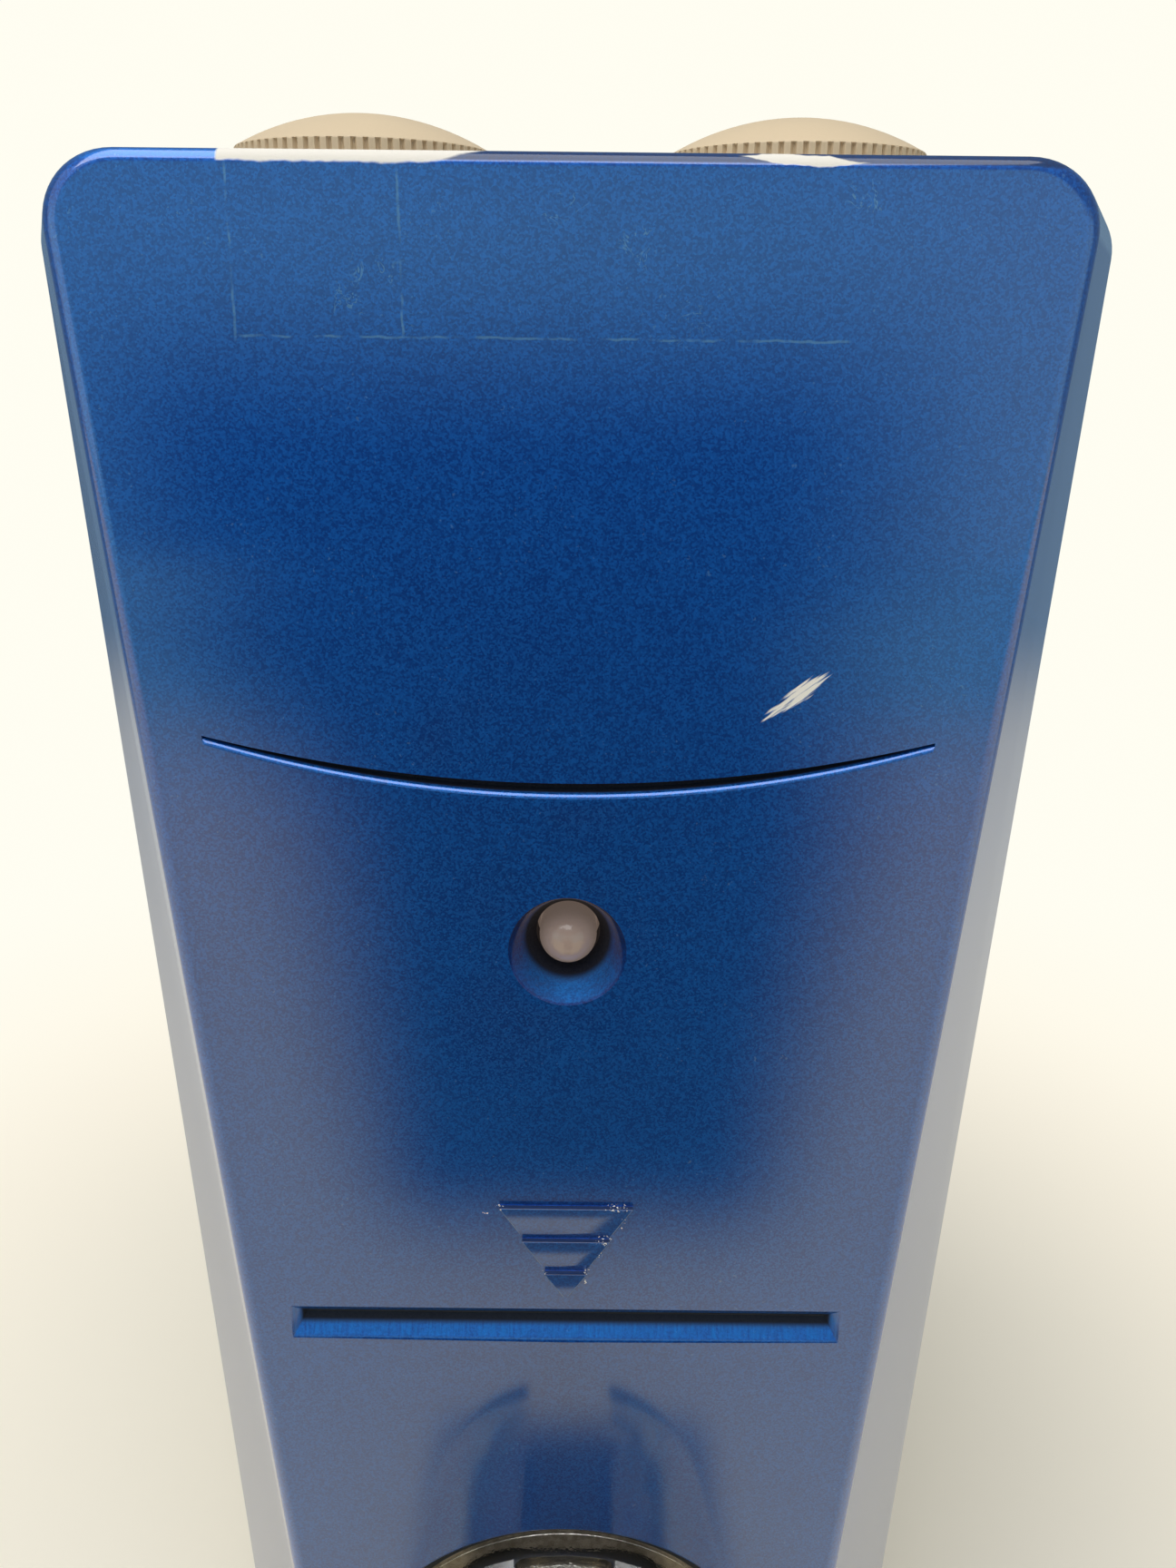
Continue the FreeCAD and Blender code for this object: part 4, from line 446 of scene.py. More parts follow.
def turned(profile, axis=1, steps=96):
    """A piece turned on a lathe: a point is extruded along the profile of (radius, place) pairs and spun."""
    spots = [Vector((radius, place, 0) if axis == 1 else (radius, 0, place)) for radius, place in profile]
    item = fresh(bpy.ops.mesh.primitive_plane_add, size=MM)
    with editing(item):
        bpy.ops.mesh.select_all(action="SELECT")
        bpy.ops.mesh.merge(type="CENTER")
        bpy.ops.mesh.select_mode(type="VERT")
        bpy.ops.mesh.select_all(action="SELECT")
        bpy.ops.transform.translate(value=spots[0])
        for before, spot in zip(spots, spots[1:]):
            bpy.ops.mesh.extrude_vertices_move(TRANSFORM_OT_translate={"value": spot - before})
        bpy.ops.mesh.select_all(action="SELECT")
        bpy.ops.mesh.spin(steps=steps, angle=math.tau, center=(0, 0, 0), axis=BACK if axis == 1 else UP)
        bpy.ops.mesh.select_all(action="SELECT")
        bpy.ops.mesh.remove_doubles(threshold=NEAR)
        bpy.ops.mesh.normals_make_consistent(inside=False)
    return item


def arc(start, end, radius, steps=8):
    """Points on a round stretch from start to end, bowed to the right of its direction; end is left out."""
    start, end = Vector(start), Vector(end)
    chord = end - start
    left = Vector((-chord.y, chord.x)).normalized()
    centre = (start + end) / 2 + left * math.sqrt(radius ** 2 - chord.length_squared / 4)
    first, sweep = start - centre, (start - centre).angle_signed(end - centre)
    turns = [Matrix.Rotation(-sweep * step / steps, 2) for step in range(steps)]
    return [tuple(centre + turn @ first) for turn in turns]


def merged(node):
    """A copy of a CAD node, its triangles joined to one another."""
    copy = bpy.data.objects.new(node + "_copy", frame["nodes"][node].data.copy())
    bpy.context.scene.collection.objects.link(copy)
    with editing(copy):
        bpy.ops.mesh.select_all(action="SELECT")
        bpy.ops.mesh.remove_doubles(threshold=NEAR)
    return copy


def dressed(node, width):
    """A copy of a CAD node with whole faces and, where a width is given, rounded edges."""
    copy = merged(node)
    with editing(copy):
        bpy.ops.mesh.select_all(action="SELECT")
        bpy.ops.mesh.dissolve_limited(angle_limit=math.radians(0.5))
    if width:
        modify(copy, "BEVEL", width=width, segments=3, limit_method="ANGLE", angle_limit=math.radians(35),
               use_clamp_overlap=True, harden_normals=False)
    return copy


def parts_of(node):
    """The lowest and highest corners of each separate solid of a CAD node."""
    with editing(merged(node)):
        bpy.ops.mesh.select_all(action="SELECT")
        bpy.ops.mesh.separate(type="LOOSE")
    boxes = []
    for item in list(bpy.context.selected_objects):
        places = [vertex.co for vertex in item.data.vertices]
        boxes.append((Vector(min(place[axis] for place in places) for axis in range(3)),
                      Vector(max(place[axis] for place in places) for axis in range(3))))
        bpy.data.objects.remove(item)
    return sorted(boxes, key=lambda box: tuple(box[0]))


def finish(item, name, nodes, place=None, slot=None, smooth=30, replace=True):
    """Put a modelled piece in the base frame, smooth it and give it its finish, body and CAD nodes."""
    if place is not None:
        settle(item, place)
    item.name = name
    item.data.name = name
    take(item)
    bpy.ops.object.shade_smooth_by_angle(angle=math.radians(smooth))
    modify(item, "WEIGHTED_NORMAL", keep_sharp=True, weight=100)
    slot = slot or SLOT_OF[nodes[0]]
    item.data.materials.clear()
    item.data.materials.append(material(slot))
    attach(item, BODY_OF[nodes[0]])
    if replace:
        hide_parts(*nodes)
    return item


# ---------------------------------------------------------------- materials

class Wire:
    """A node's output; arithmetic on it adds Math nodes."""

    def __init__(self, finish_, socket):
        self.finish, self.socket = finish_, socket

    def _math(self, operation, *values):
        return self.finish.add("ShaderNodeMath", {"operation": operation}, *values)

    def __add__(self, other):
        return self._math("ADD", self, other)

    def __sub__(self, other):
        return self._math("SUBTRACT", self, other)

    def __rsub__(self, other):
        return self._math("SUBTRACT", other, self)

    def __mul__(self, other):
        return self._math("MULTIPLY", self, other)

    def __truediv__(self, other):
        return self._math("DIVIDE", self, other)

    def __pow__(self, other):
        return self._math("POWER", self, other)

    __radd__ = __add__
    __rmul__ = __mul__

    def __abs__(self):
        return self._math("ABSOLUTE", self)

    def __or__(self, other):
        """The greater of two masks."""
        return self._math("MAXIMUM", self, other)

    def between(self, low, high):
        """0 below low, 1 above high and a smooth rise between; it falls instead where low is the greater."""
        if low > high:
            return 1 - self.between(high, low)
        smooth = {"interpolation_type": "SMOOTHSTEP"}
        return self.finish.add("ShaderNodeMapRange", smooth, self, low, high, 0.0, 1.0)

    def band(self, low, high, soft):
        """1 between two values, fading out over a soft edge."""
        return self.between(low - soft, low + soft) * self.between(high + soft, high - soft)


class Shading:
    """The node tree of a material or of the room."""

    def __init__(self, owner, place="Object"):
        owner.use_nodes = True
        self.tree = owner.node_tree
        self.place = self.add("ShaderNodeTexCoord", output=place)

    def rays(self):
        """What kind of ray asks: from the camera, from a glossy surface or through a clear one."""
        node = self.tree.nodes.new("ShaderNodeLightPath")
        return [Wire(self, node.outputs[f"Is {kind} Ray"]) for kind in ("Camera", "Glossy", "Transmission")]

    def blend(self, share, first, second):
        return self.add("ShaderNodeMixShader", {}, share, first, second)

    def show(self, shader, output):
        self.tree.links.new(shader.socket, self.tree.nodes[output].inputs["Surface"])

    def add(self, kind, values=None, *inputs, output=0, **named):
        """Add a node: its settings first, then what its sockets hold, by order or by name."""
        node = self.tree.nodes.new(kind)
        for key, value in (values or {}).items():
            setattr(node, key, value)
        for socket, value in (*zip(node.inputs, inputs), *((node.inputs[key], named[key]) for key in named)):
            self.fill(socket, value)
        return Wire(self, node.outputs[output])

    def fill(self, socket, value):
        if isinstance(value, Wire):
            self.tree.links.new(value.socket, socket)
        elif value is not None:
            if socket.type == "RGBA" and len(value) == 3:
                value = (*value, 1)
            socket.default_value = value

    def noise(self, scale, detail=3.0, roughness=0.5, place=None, distortion=0.0):
        return self.add("ShaderNodeTexNoise", {}, output="Fac", Vector=place or self.place, Scale=scale,
                        Detail=detail, Roughness=roughness, Distortion=distortion)

    def grain(self, along, across, detail):
        """Noise on two plain numbers, for streaks that run one way."""
        return self.noise(1.0, detail, place=self.add("ShaderNodeCombineXYZ", {}, along, across, 0.0))

    def cells(self, scale):
        """A number for each cell of a fine, uneven net."""
        shade = self.add("ShaderNodeTexVoronoi", {}, output="Color", Vector=self.place, Scale=scale)
        return self.add("ShaderNodeSeparateColor", {}, shade)

    def mix(self, share, first, second):
        node = self.tree.nodes.new("ShaderNodeMix")
        node.data_type = "RGBA"
        for index, value in ((0, share), (6, first), (7, second)):
            self.fill(node.inputs[index], value)
        return Wire(self, node.outputs[2])

    def axes(self):
        """The three coordinates of the place, as separate values."""
        node = self.tree.nodes.new("ShaderNodeSeparateXYZ")
        self.fill(node.inputs[0], self.place)
        return [Wire(self, socket) for socket in node.outputs]

    def bump(self, height, distance, strength=1.0, below=None):
        return self.add("ShaderNodeBump", {}, Strength=strength, Distance=distance, Height=height,
                        Normal=below)


class Finish(Shading):
    """A material under construction."""

    def __init__(self, name, **constants):
        self.material = bpy.data.materials.new(name)
        super().__init__(self.material)
        self.shader = self.tree.nodes["Principled BSDF"]
        for socket, value in constants.items():
            self.set(socket.replace("_", " "), value)

    def set(self, socket, value):
        self.fill(self.shader.inputs[socket], value)
        return self


MATERIALS = {}


def material(name):
    """The finish of a record slot, made once."""
    if name not in MATERIALS:
        MATERIALS[name] = MAKERS[name](name)
    return MATERIALS[name]


class PanelPlace:
    """Places on the panel in millimetres: x to the right, the drop, and the depth behind its face."""

    def __init__(self, paint):
        self.paint = paint
        top = panel_frame().translation
        x, y, z = paint.axes()
        self.x = x * (1 / MM)
        self.drop = (top.y - y) * (UP_PANEL.y / MM) + (top.z - z) * (UP_PANEL.z / MM)
        self.deep = (y - top.y) * (INWARD.y / MM) + (z - top.z) * (INWARD.z / MM)

    def spot(self, x, drop, half_wide, half_tall, soft=0.3):
        """1 in an ellipse, fading out round it."""
        across, down = (self.x - x) * (1 / half_wide), (self.drop - drop) * (1 / half_tall)
        return (across * across + down * down).between(1 + soft, 1 - soft)

    def strip(self, x0, x1, drop0, drop1, soft):
        return self.x.band(x0, x1, soft) * self.drop.band(drop0, drop1, soft)

    def wander(self, size, reach):
        """A slow wave to make a straight line uneven."""
        return (self.paint.noise(1 / (size * MM), 2) - 0.5) * (2 * reach)

    def strokes(self, x, drop, half_long, half_wide, turn):
        """A scuff of fine strokes that run along its length, turned against the panel's width. They are
        denser at its upper end."""
        cos, sin = math.cos(turn), math.sin(turn)
        run = (self.x - x) * cos - (self.drop - drop) * sin
        rise = (self.x - x) * sin + (self.drop - drop) * cos
        lines = self.paint.grain(run * 0.3, rise * 4.0, 3)
        along, across = run * (1 / half_long), rise * (1 / half_wide)
        fade = run.between(half_long * 0.4, -half_long) * 0.12
        return ((along * along + across * across).between(1.5, 0.1) * 0.5 + lines - fade).between(0.8, 0.95)


# Spots on the bars where the paint is chipped: x, drop, half width and half height in millimetres.
CHIPS = ((-6.2, 86.2, 0.7, 0.3), (-7.3, 86.9, 0.5, 0.3), (4.7, 86.1, 1.4, 0.3), (3.5, 89.7, 0.9, 0.5),
         (-2.0, 93.2, 0.4, 0.3), (1.9, 93.3, 0.4, 0.4), (5.2, 87.9, 0.3, 1.1), (3.2, 91.4, 0.25, 0.9),
         (1.9, 94.6, 0.2, 0.6))
# Faint raised lines left by an old label: x and drop at both ends.
LABEL_LINES = ((-24.0, -24.0, 1.0, 12.2), (-23.6, 20.0, 12.0, 12.3), (-12.0, -12.0, 1.5, 12.0))
# Short wrinkles left by it: x, drop, reach across and down.
WRINKLES = ((-13.5, 7.6, 2.2, 1.6), (-15.8, 9.6, 1.6, 1.2), (4.8, 6.2, 1.6, 1.4), (-0.4, 3.6, 1.8, 1.0),
            (8.6, 11.2, 1.6, 1.4), (21.0, 2.6, 2.0, 1.0))
# The scuff: x, drop, half length and half width, and its turn from the panel's width.
SCUFF = (17.7, 38.4, 3.9, 0.85, math.radians(37))
# How many grains of a pattern there are in a metre.
FLAKE, CRUMB, CHIP, FOLD, BREAK, CLOUD, RIPPLE = 6500, 2600, 5200, 420, 500, 180, 650
# The panel round the crescent, as x, drop and a soft edge, and round the groove, as x.
ROUND_SMILE, ROUND_GROOVE = (-30, 30, 41, 48, 0.3), (-27, 27)
# Painted shade: the colour given to the paint where hardly any light reaches it.
PAINTED_SHADE_COLOUR = (0.001, 0.002, 0.01)


def greatest(masks):
    """Where any of the masks is 1."""
    masks = list(masks)
    whole = masks[0]
    for mask in masks[1:]:
        whole = whole | mask
    return whole


class PanelPaint:
    """Masks for what lies on or in the panel's paint, and for its painted highlights and painted shade."""

    def __init__(self, paint):
        self.paint, self.panel = paint, PanelPlace(paint)
        self.face = self.panel.deep.between(1.2, 0.8)
        self.crumbs = paint.noise(CRUMB, 3, 0.6)
        self.waver = self.panel.wander(1.4, 0.2)
        sizes = settings("panel")
        self.arrow, self.arrow_tall, self.bar_pitch, self.lamp, self.groove, self.head = (
            value / MM for value in (sizes.arrow_drop, sizes.arrow_tall, sizes.bar_pitch, sizes.lamp_drop,
                                     sizes.groove_drop, sizes.head_drop))
        self.recess = sizes.recess / MM + 0.4
        self.rim = self.panel.drop.between(1.0, 0.6) * self.panel.deep.band(0.06, 2, 0.04)
        self.left = self.panel.x.between(-24.2, -24.6)

    def bare(self):
        """Chips on the arrow, two rubbed stretches of the top edge and a scuff."""
        panel = self.panel
        chips = greatest(panel.spot(*chip, 0.9) for chip in CHIPS)
        chips = (chips * 0.3 + self.paint.noise(CHIP, 2)).between(0.89, 0.93) * self.face
        taper = (panel.x + 10.5).between(0, 5) * 0.9
        first = panel.x.band(-24.5, -6.0, 0.12) * (panel.drop - self.waver + taper).band(-0.2, 0.85, 0.12)
        narrow = (abs(panel.x - 16) - 1.5).between(0, 3) * 0.35
        second = ((abs(panel.drop - panel.x * 0.055 + self.waver + 0.45) + narrow).between(0.42, 0.3)
                  * panel.x.band(11.8, 20.4, 0.4))
        rubbed = (first | second) * (self.crumbs + 0.35).between(0.5, 0.62) * panel.deep.between(1.6, 1.1)
        return chips | rubbed | panel.strokes(*SCUFF) * self.face

    def marks(self):
        """The outline and wrinkles of an old label, and a painted highlight along the slanted edges of the
        arrow.
        """
        panel, paint = self.panel, self.paint
        lines = []
        for x0, x1, drop0, drop1 in LABEL_LINES:
            if x0 == x1:
                off, stretch = panel.x - x0, panel.drop.band(drop0, drop1, 0.5)
            else:
                off, stretch = panel.drop - (drop0 + drop1) / 2, panel.x.band(x0, x1, 0.5)
            lines.append(abs(off + self.waver).between(0.13, 0.03) * stretch)
        folds = abs(paint.noise(FOLD, 3, 0.6, distortion=1.2) - 0.5).between(0.014, 0.004)
        lines += [folds * panel.spot(*wrinkle, 0.5) for wrinkle in WRINKLES]
        # Painted highlight: a thin light line along the arrow's slanted edges.
        slant = abs(abs(panel.x) - (self.arrow_tall + self.arrow - panel.drop) * 0.575)
        edge = (slant.between(0.12, 0.04) * panel.deep.between(-0.02, -0.08)
                * panel.drop.band(self.arrow, self.arrow + self.arrow_tall, 0.2))
        return (greatest(lines) * paint.noise(BREAK, 2).between(0.38, 0.6) | edge) * self.face

    def bright(self, speck):
        """Painted highlights on the lower slopes of the groove, the crescent and the bowl, and on the top
        edge's left end.
        """
        panel, sparkle = self.panel, 0.5 * speck
        highlight = self.paint.grain(panel.x * 4.0, panel.drop * 0.6, 2).between(0.1, 0.9)
        groove = (panel.strip(*ROUND_GROOVE, self.groove, self.groove + 4, 0.2)
                  * panel.deep.between(0.05, 0.25))
        smile = panel.strip(*ROUND_SMILE) * panel.deep.between(0.0, 0.05)
        bowl = (panel.spot(0, self.lamp, 5.2, 5.2) * panel.deep.between(0.1, 0.4)
                * (panel.drop - self.lamp).between(0, 3))
        return (groove * highlight * 0.8 | smile * (0.15 + 0.7 * sparkle) | bowl * (0.5 + sparkle)
                | self.rim * self.left * 0.4)

    def hollow(self):
        """Painted shade in the deepest parts of the bowl, crescent, groove and recess, on the top edge and on
        the upper walls of the bars.
        """
        panel = self.panel
        walls = []
        for bar in range(3):
            top = self.arrow + bar * self.bar_pitch
            walls.append(panel.strip(-7, 7, top - 0.3, top + 0.03, 0.02) * panel.deep.between(-0.03, -0.08))
        return greatest((
            panel.spot(0, self.lamp, 5.4, 5.4) * panel.deep.between(1.9, 3.2),
            panel.strip(*ROUND_SMILE) * panel.deep.between(0.25, 0.5),
            panel.strip(*ROUND_GROOVE, self.groove - 1, self.groove + 4, 0.2) * panel.deep.between(0.6, 1.0),
            panel.spot(0, self.head, self.recess, self.recess, 0.02) * panel.deep.between(0.3, 0.8),
            self.rim * self.left.between(1, 0) * 0.7,
            greatest(walls) * 0.85))


def blue_paint(name):
    """Metallic blue under a clear coat with chips, label traces and a scuff on the panel, and painted
    highlights and shade.
    """
    colours = settings("paint")
    paint = Finish(name, Coat_Roughness=0.1, Coat_IOR=1.85)
    speck = paint.cells(FLAKE).between(0.1, 1.0)
    cloud = paint.noise(CLOUD, 3)
    masks = PanelPaint(paint)
    bare, slope, hollow = masks.bare(), masks.bright(speck), masks.hollow()
    dust = (masks.crumbs - 0.5 + (cloud - 0.5) * 0.3).between(0.2, 0.24) * 0.5
    flakes = paint.mix(speck * 0.75 + cloud * 0.25, colours.deep, colours.flake)
    # Painted highlight: the lower slopes that face the light are painted a lighter blue.
    flakes = paint.mix(slope, flakes, colours.streak)
    # Label marks and dust are the paint's own; the arrow's edge lines in this colour are a painted highlight.
    marked = paint.mix((masks.marks() | dust) * 0.6, flakes, colours.mark)
    # Painted shade: the deep parts, the top edge and the bars' upper walls are painted near black.
    marked = paint.mix(hollow, marked, PAINTED_SHADE_COLOUR)
    paint.set("Base Color", paint.mix(bare, marked, colours.bare))
    paint.set("Metallic", 0.85 * (1 - bare) * (1 - hollow))
    paint.set("Coat Weight", (1 - bare) * (1 - hollow * 0.8) * (1 - slope * 0.8))
    paint.set("Roughness", 0.44 + 0.08 * speck + 0.1 * bare + 0.45 * hollow)
    ripple = paint.bump(paint.noise(RIPPLE, 2), 0.01 * MM)
    paint.set("Normal", paint.bump(paint.noise(FLAKE, 2) - bare * 0.8, 0.02 * MM, 0.8, ripple))
    return paint.material


def plain(shade, rough, metal=0.0, grain=4000, vary=0.06, **constants):
    """A maker of simple finishes: a shade that varies a little, and a fine grain."""
    def make(name):
        item = Finish(name, Metallic=metal, **constants)
        cloud = item.noise(60, 4)
        fine = item.noise(grain, 2)
        dark = tuple(part * (1 - vary) for part in shade)
        light = tuple(min(1, part * (1 + vary)) for part in shade)
        item.set("Base Color", item.mix(cloud.between(0.3, 0.7), dark, light))
        item.set("Roughness", rough + (fine - 0.5) * 0.15)
        item.set("Normal", item.bump(fine, 0.02 * MM))
        return item.material
    return make


def recess_metal(name):
    """Speckled metal, darker toward the corner of the recess: painted shade."""
    metal = Finish(name, Metallic=0.8)
    panel = PanelPlace(metal)
    head_drop, reach = settings("panel").head_drop / MM, settings("panel").recess / MM - 3
    speckle = metal.noise(1500, 3)
    dark, light, recess_shade = (0.32, 0.27, 0.21), (0.54, 0.46, 0.38), (0.03, 0.02, 0.013)
    shade = metal.mix(speckle.between(0.35, 0.65), dark, light)
    # Painted shade: the metal is painted dark brown near the recess wall.
    metal.set("Base Color", metal.mix(panel.spot(0, head_drop, reach, reach, 0.06), recess_shade, shade))
    metal.set("Roughness", 0.38 + speckle * 0.15)
    metal.set("Normal", metal.bump(speckle, 0.02 * MM))
    return metal.material


MAKERS = {
    "blue_shell": blue_paint,
    "grey_shell": plain((0.56, 0.53, 0.47), 0.5, grain=2500, vary=0.015),
    "knob_plastic": plain((0.68, 0.53, 0.34), 0.62, grain=3000, vary=0.02),
    "black_plastic": plain((0.02, 0.02, 0.021), 0.42),
    "black_insulator": plain((0.03, 0.028, 0.026), 0.5),
    "clear_guard": plain((0.97, 0.98, 0.98), 0.04, Transmission_Weight=1.0, IOR=1.49, vary=0.0),
    # The lens's faint glow is painted light: it lifts the lens out of the bowl's shade; the lamp is not lit.
    "led_lens": plain((0.22, 0.16, 0.13), 0.12, IOR=1.5, Emission_Color=(0.5, 0.37, 0.30),
                      Emission_Strength=0.22),
    "rubber": plain((0.025, 0.025, 0.025), 0.7),
    "speckled_metal": recess_metal,
    "zinc_steel": plain((0.62, 0.62, 0.60), 0.32, metal=1.0),
    "steel": plain((0.60, 0.60, 0.60), 0.22, metal=1.0),
    "brass": plain((0.75, 0.55, 0.25), 0.28, metal=1.0),
    "aluminium": plain((0.72, 0.72, 0.73), 0.35, metal=1.0),
    "copper": plain((0.72, 0.36, 0.20), 0.3, metal=1.0),
    "board": plain((0.02, 0.17, 0.07), 0.4),
    "ferrite": plain((0.06, 0.06, 0.065), 0.6),
    "ceramic_white": plain((0.8, 0.78, 0.72), 0.25),
    "capacitor_sleeve": plain((0.03, 0.04, 0.09), 0.3),
    "tape": plain((0.65, 0.48, 0.06), 0.3),
    "fuse_glass": plain((0.95, 0.96, 0.96), 0.05, Transmission_Weight=0.9, IOR=1.5, vary=0.0),
}


# ---------------------------------------------------------------- housing

PANEL_LENGTH = (FRONT_HIGH.z - FRONT_LOW.z) / math.cos(LEAN)


def panel_slope():
    house = settings("housing")
    return math.atan2(house.half_top - house.half_low, PANEL_LENGTH)


def round_corners(form, radius, split, segments=14):
    """Round the four edges that run back, above and below a height, to a true radius."""
    for up in (1, -1):
        corner = math.radians(90) - up * panel_slope()

        def runs_back(edge):
            first, last = ends(edge)
            return along(edge, 1, 0.8) and (first.z + last.z - 2 * split) * up > 0

        bevel(form, radius / math.tan(corner / 2), segments, runs_back)


def front_form(inset):
    """The front shell's outer form, or with an inset the space inside it, as a solid in the panel frame."""
    house = settings("housing")
    starts = (0.0, house.shell_depth) if not inset else (inset, house.shell_depth + OVER)
    corners = {}
    for near, depth in zip((-1, 1), starts):
        share, rise = depth / house.shell_depth, depth * math.tan(LEAN)
        for up, half, flare, edge in ((1, house.half_top, house.flare_top, 0.0),
                                      (-1, house.half_low, house.flare_low, -PANEL_LENGTH)):
            wide = half + flare * share - inset
            for side in (-1, 1):
                corners[side, near, up] = (side * wide, depth, edge + rise - up * inset)
    form = block(corners)
    round_corners(form, house.corner - inset, -PANEL_LENGTH / 2)
    if not inset:
        bevel(form, house.edge, 6, level)
    return form


def smile_radius(dip):
    """Radius of an edge of the crescent, from its dip between the ends."""
    return (settings("panel").smile_half ** 2 + dip ** 2) / (2 * dip)


def smile_cutter():
    """The crescent: a large cone less a larger cylinder, between two upright ends."""
    panel = settings("panel")
    low = smile_radius(panel.smile_low - panel.smile_end)
    high = smile_radius(panel.smile_low - panel.smile_wide - (panel.smile_end - panel.smile_tip))
    slope = panel.smile_slope / panel.smile_deep
    steps = 720
    lower = cylinder(low + slope * OVER, -OVER, panel.smile_deep, across=(0, low - panel.smile_low),
                     steps=steps, end_radius=low - panel.smile_slope)
    upper = cylinder(high, -2 * OVER, 2 * panel.smile_deep,
                     across=(0, high + panel.smile_wide - panel.smile_low), steps=steps)
    between = brick((-panel.smile_half, -OVER, -panel.smile_low - OVER),
                    (panel.smile_half, panel.smile_deep, -panel.smile_end + 5 * MM), 0.19 * MM, 4)
    carve(lower, upper)
    return carve(lower, between, operation="INTERSECT")


class SealerFrontShell(bpy.types.Operator):
    """Front shell: the leaning panel with its crescent, lamp bowl, arrow, groove and round recess"""
    bl_idname = "sealer.front_shell"
    bl_label = "Front shell"

    def execute(self, context):
        house, panel = settings("housing"), settings("panel")
        shell = carve(front_form(0.0), front_form(house.wall))
        half_wall, head = house.wall / 2, (0, -panel.head_drop)
        collar = cylinder(panel.recess + panel.collar, half_wall, panel.recess_deep, across=head)
        boss = cylinder(panel.boss, half_wall, panel.boss_deep, across=(0, -panel.lamp_drop), steps=48)
        carve(shell, collar, boss, operation="UNION")
        recess = cylinder(panel.recess, -OVER, panel.recess_deep + OVER, across=head, steps=192)
        carve(shell, recess, self.bowl(), smile_cutter(), self.groove())
        self.soften(shell)
        carve(shell, *[self.bar(number) for number in range(3)], operation="UNION")
        finish(shell, "front_cover", ["front_shell"], panel_frame())
        return {"FINISHED"}

    def bowl(self):
        panel = settings("panel")
        neck = panel.lamp_radius + 0.3 * MM
        curve = arc((panel.bowl_radius, 0), (neck, panel.bowl_deep), panel.bowl_curve, 10)
        end = panel.boss_deep + OVER
        tool = turned([(0, -OVER), (panel.bowl_radius, -OVER), *curve, (neck, panel.bowl_deep), (neck, end),
                       (0, end)])
        return shift(tool, (0, 0, -panel.lamp_drop))

    def groove(self):
        panel = settings("panel")
        top = -panel.groove_drop
        ridge = top - panel.groove_ridge
        inner = panel.groove_half - panel.groove_hip
        return hopper(((panel.groove_half, top), (panel.groove_half, top - panel.groove_tall)),
                      ((inner, ridge + 0.03 * MM), (inner, ridge - 0.03 * MM)), panel.groove_deep)

    def bar(self, number):
        """One bar of the arrow: proud at its upper edge, level with the panel at its lower edge."""
        panel = settings("panel")
        high = number * panel.bar_pitch
        low = high + panel.bar_tall
        corners = {}
        for up, drop, rise in ((1, high, panel.bar_rise), (-1, low, 0.0)):
            half = panel.arrow_half * (1 - drop / panel.arrow_tall)
            for side in (-1, 1):
                corners[side, -1, up] = (side * half, -rise, -panel.arrow_drop - drop)
                corners[side, 1, up] = (side * half, OVER, -panel.arrow_drop - drop)
        bar = block(corners)
        bevel(bar, panel.bar_edge, 2, lambda edge: min(spot.y for spot in ends(edge)) < -NEAR
              and max(spot.y for spot in ends(edge)) < OVER / 2)
        return bar

    def soften(self, shell):
        """Round the rims that the paint has rounded."""
        panel = settings("panel")

        low = smile_radius(panel.smile_low - panel.smile_end)

        def within(drop, reach):
            return lambda spot: abs(spot.x) < reach and abs(spot.z + drop) < reach

        def on_smile(spot):
            return (spot.z < -panel.smile_end + MM
                    and abs(math.hypot(spot.x, spot.z + panel.smile_low - low) - low) < 2 * NEAR)

        def on_groove(spot):
            return (abs(spot.x) < panel.groove_half + NEAR
                    and abs(spot.z + panel.groove_drop + panel.groove_tall) < NEAR)

        # Each rim's radius, steps and least angle, and which spots lie on it.
        for width, segments, degrees, test in (
                (0.35 * MM, 4, 30, within(panel.head_drop, panel.recess + MM)),
                (0.2 * MM, 3, 30, within(panel.lamp_drop, panel.bowl_radius + MM)),
                (0.3 * MM, 5, 10, on_smile), (0.25 * MM, 4, 10, on_groove)):
            bevel(shell, width, segments,
                  lambda edge: is_sharp(edge, degrees) and level(edge) and all(map(test, ends(edge))))


def parting_at(height):
    """Where the parting plane stands at a height, along Y in the base frame."""
    house = settings("housing")
    return (REAR_HIGH.y - house.depth + house.shell_depth / math.cos(LEAN)
            - (FRONT_HIGH.z - height) * math.tan(LEAN))


def rear_form(inset):
    """The rear shell's outer form, or with an inset the space inside it, in the base frame."""
    house = settings("housing")
    corners = {}
    for up, half, flare, edge in ((1, house.half_top, house.flare_top, FRONT_HIGH.z),
                                  (-1, house.half_low, house.flare_low, FRONT_LOW.z)):
        wide, height = half + flare - house.seam - inset, edge - up * (house.seam + inset)
        front = parting_at(height) - (OVER if inset else 0)
        for side in (-1, 1):
            corners[side, -1, up] = (side * wide, front, height)
            corners[side, 1, up] = (side * wide, REAR_HIGH.y - inset, height)
    form = block(corners)
    round_corners(form, house.corner - inset, (FRONT_HIGH.z + FRONT_LOW.z) / 2)
    if not inset:
        bevel(form, house.back_edge, 8, lambda edge: level(edge, REAR_HIGH.y))
    return form


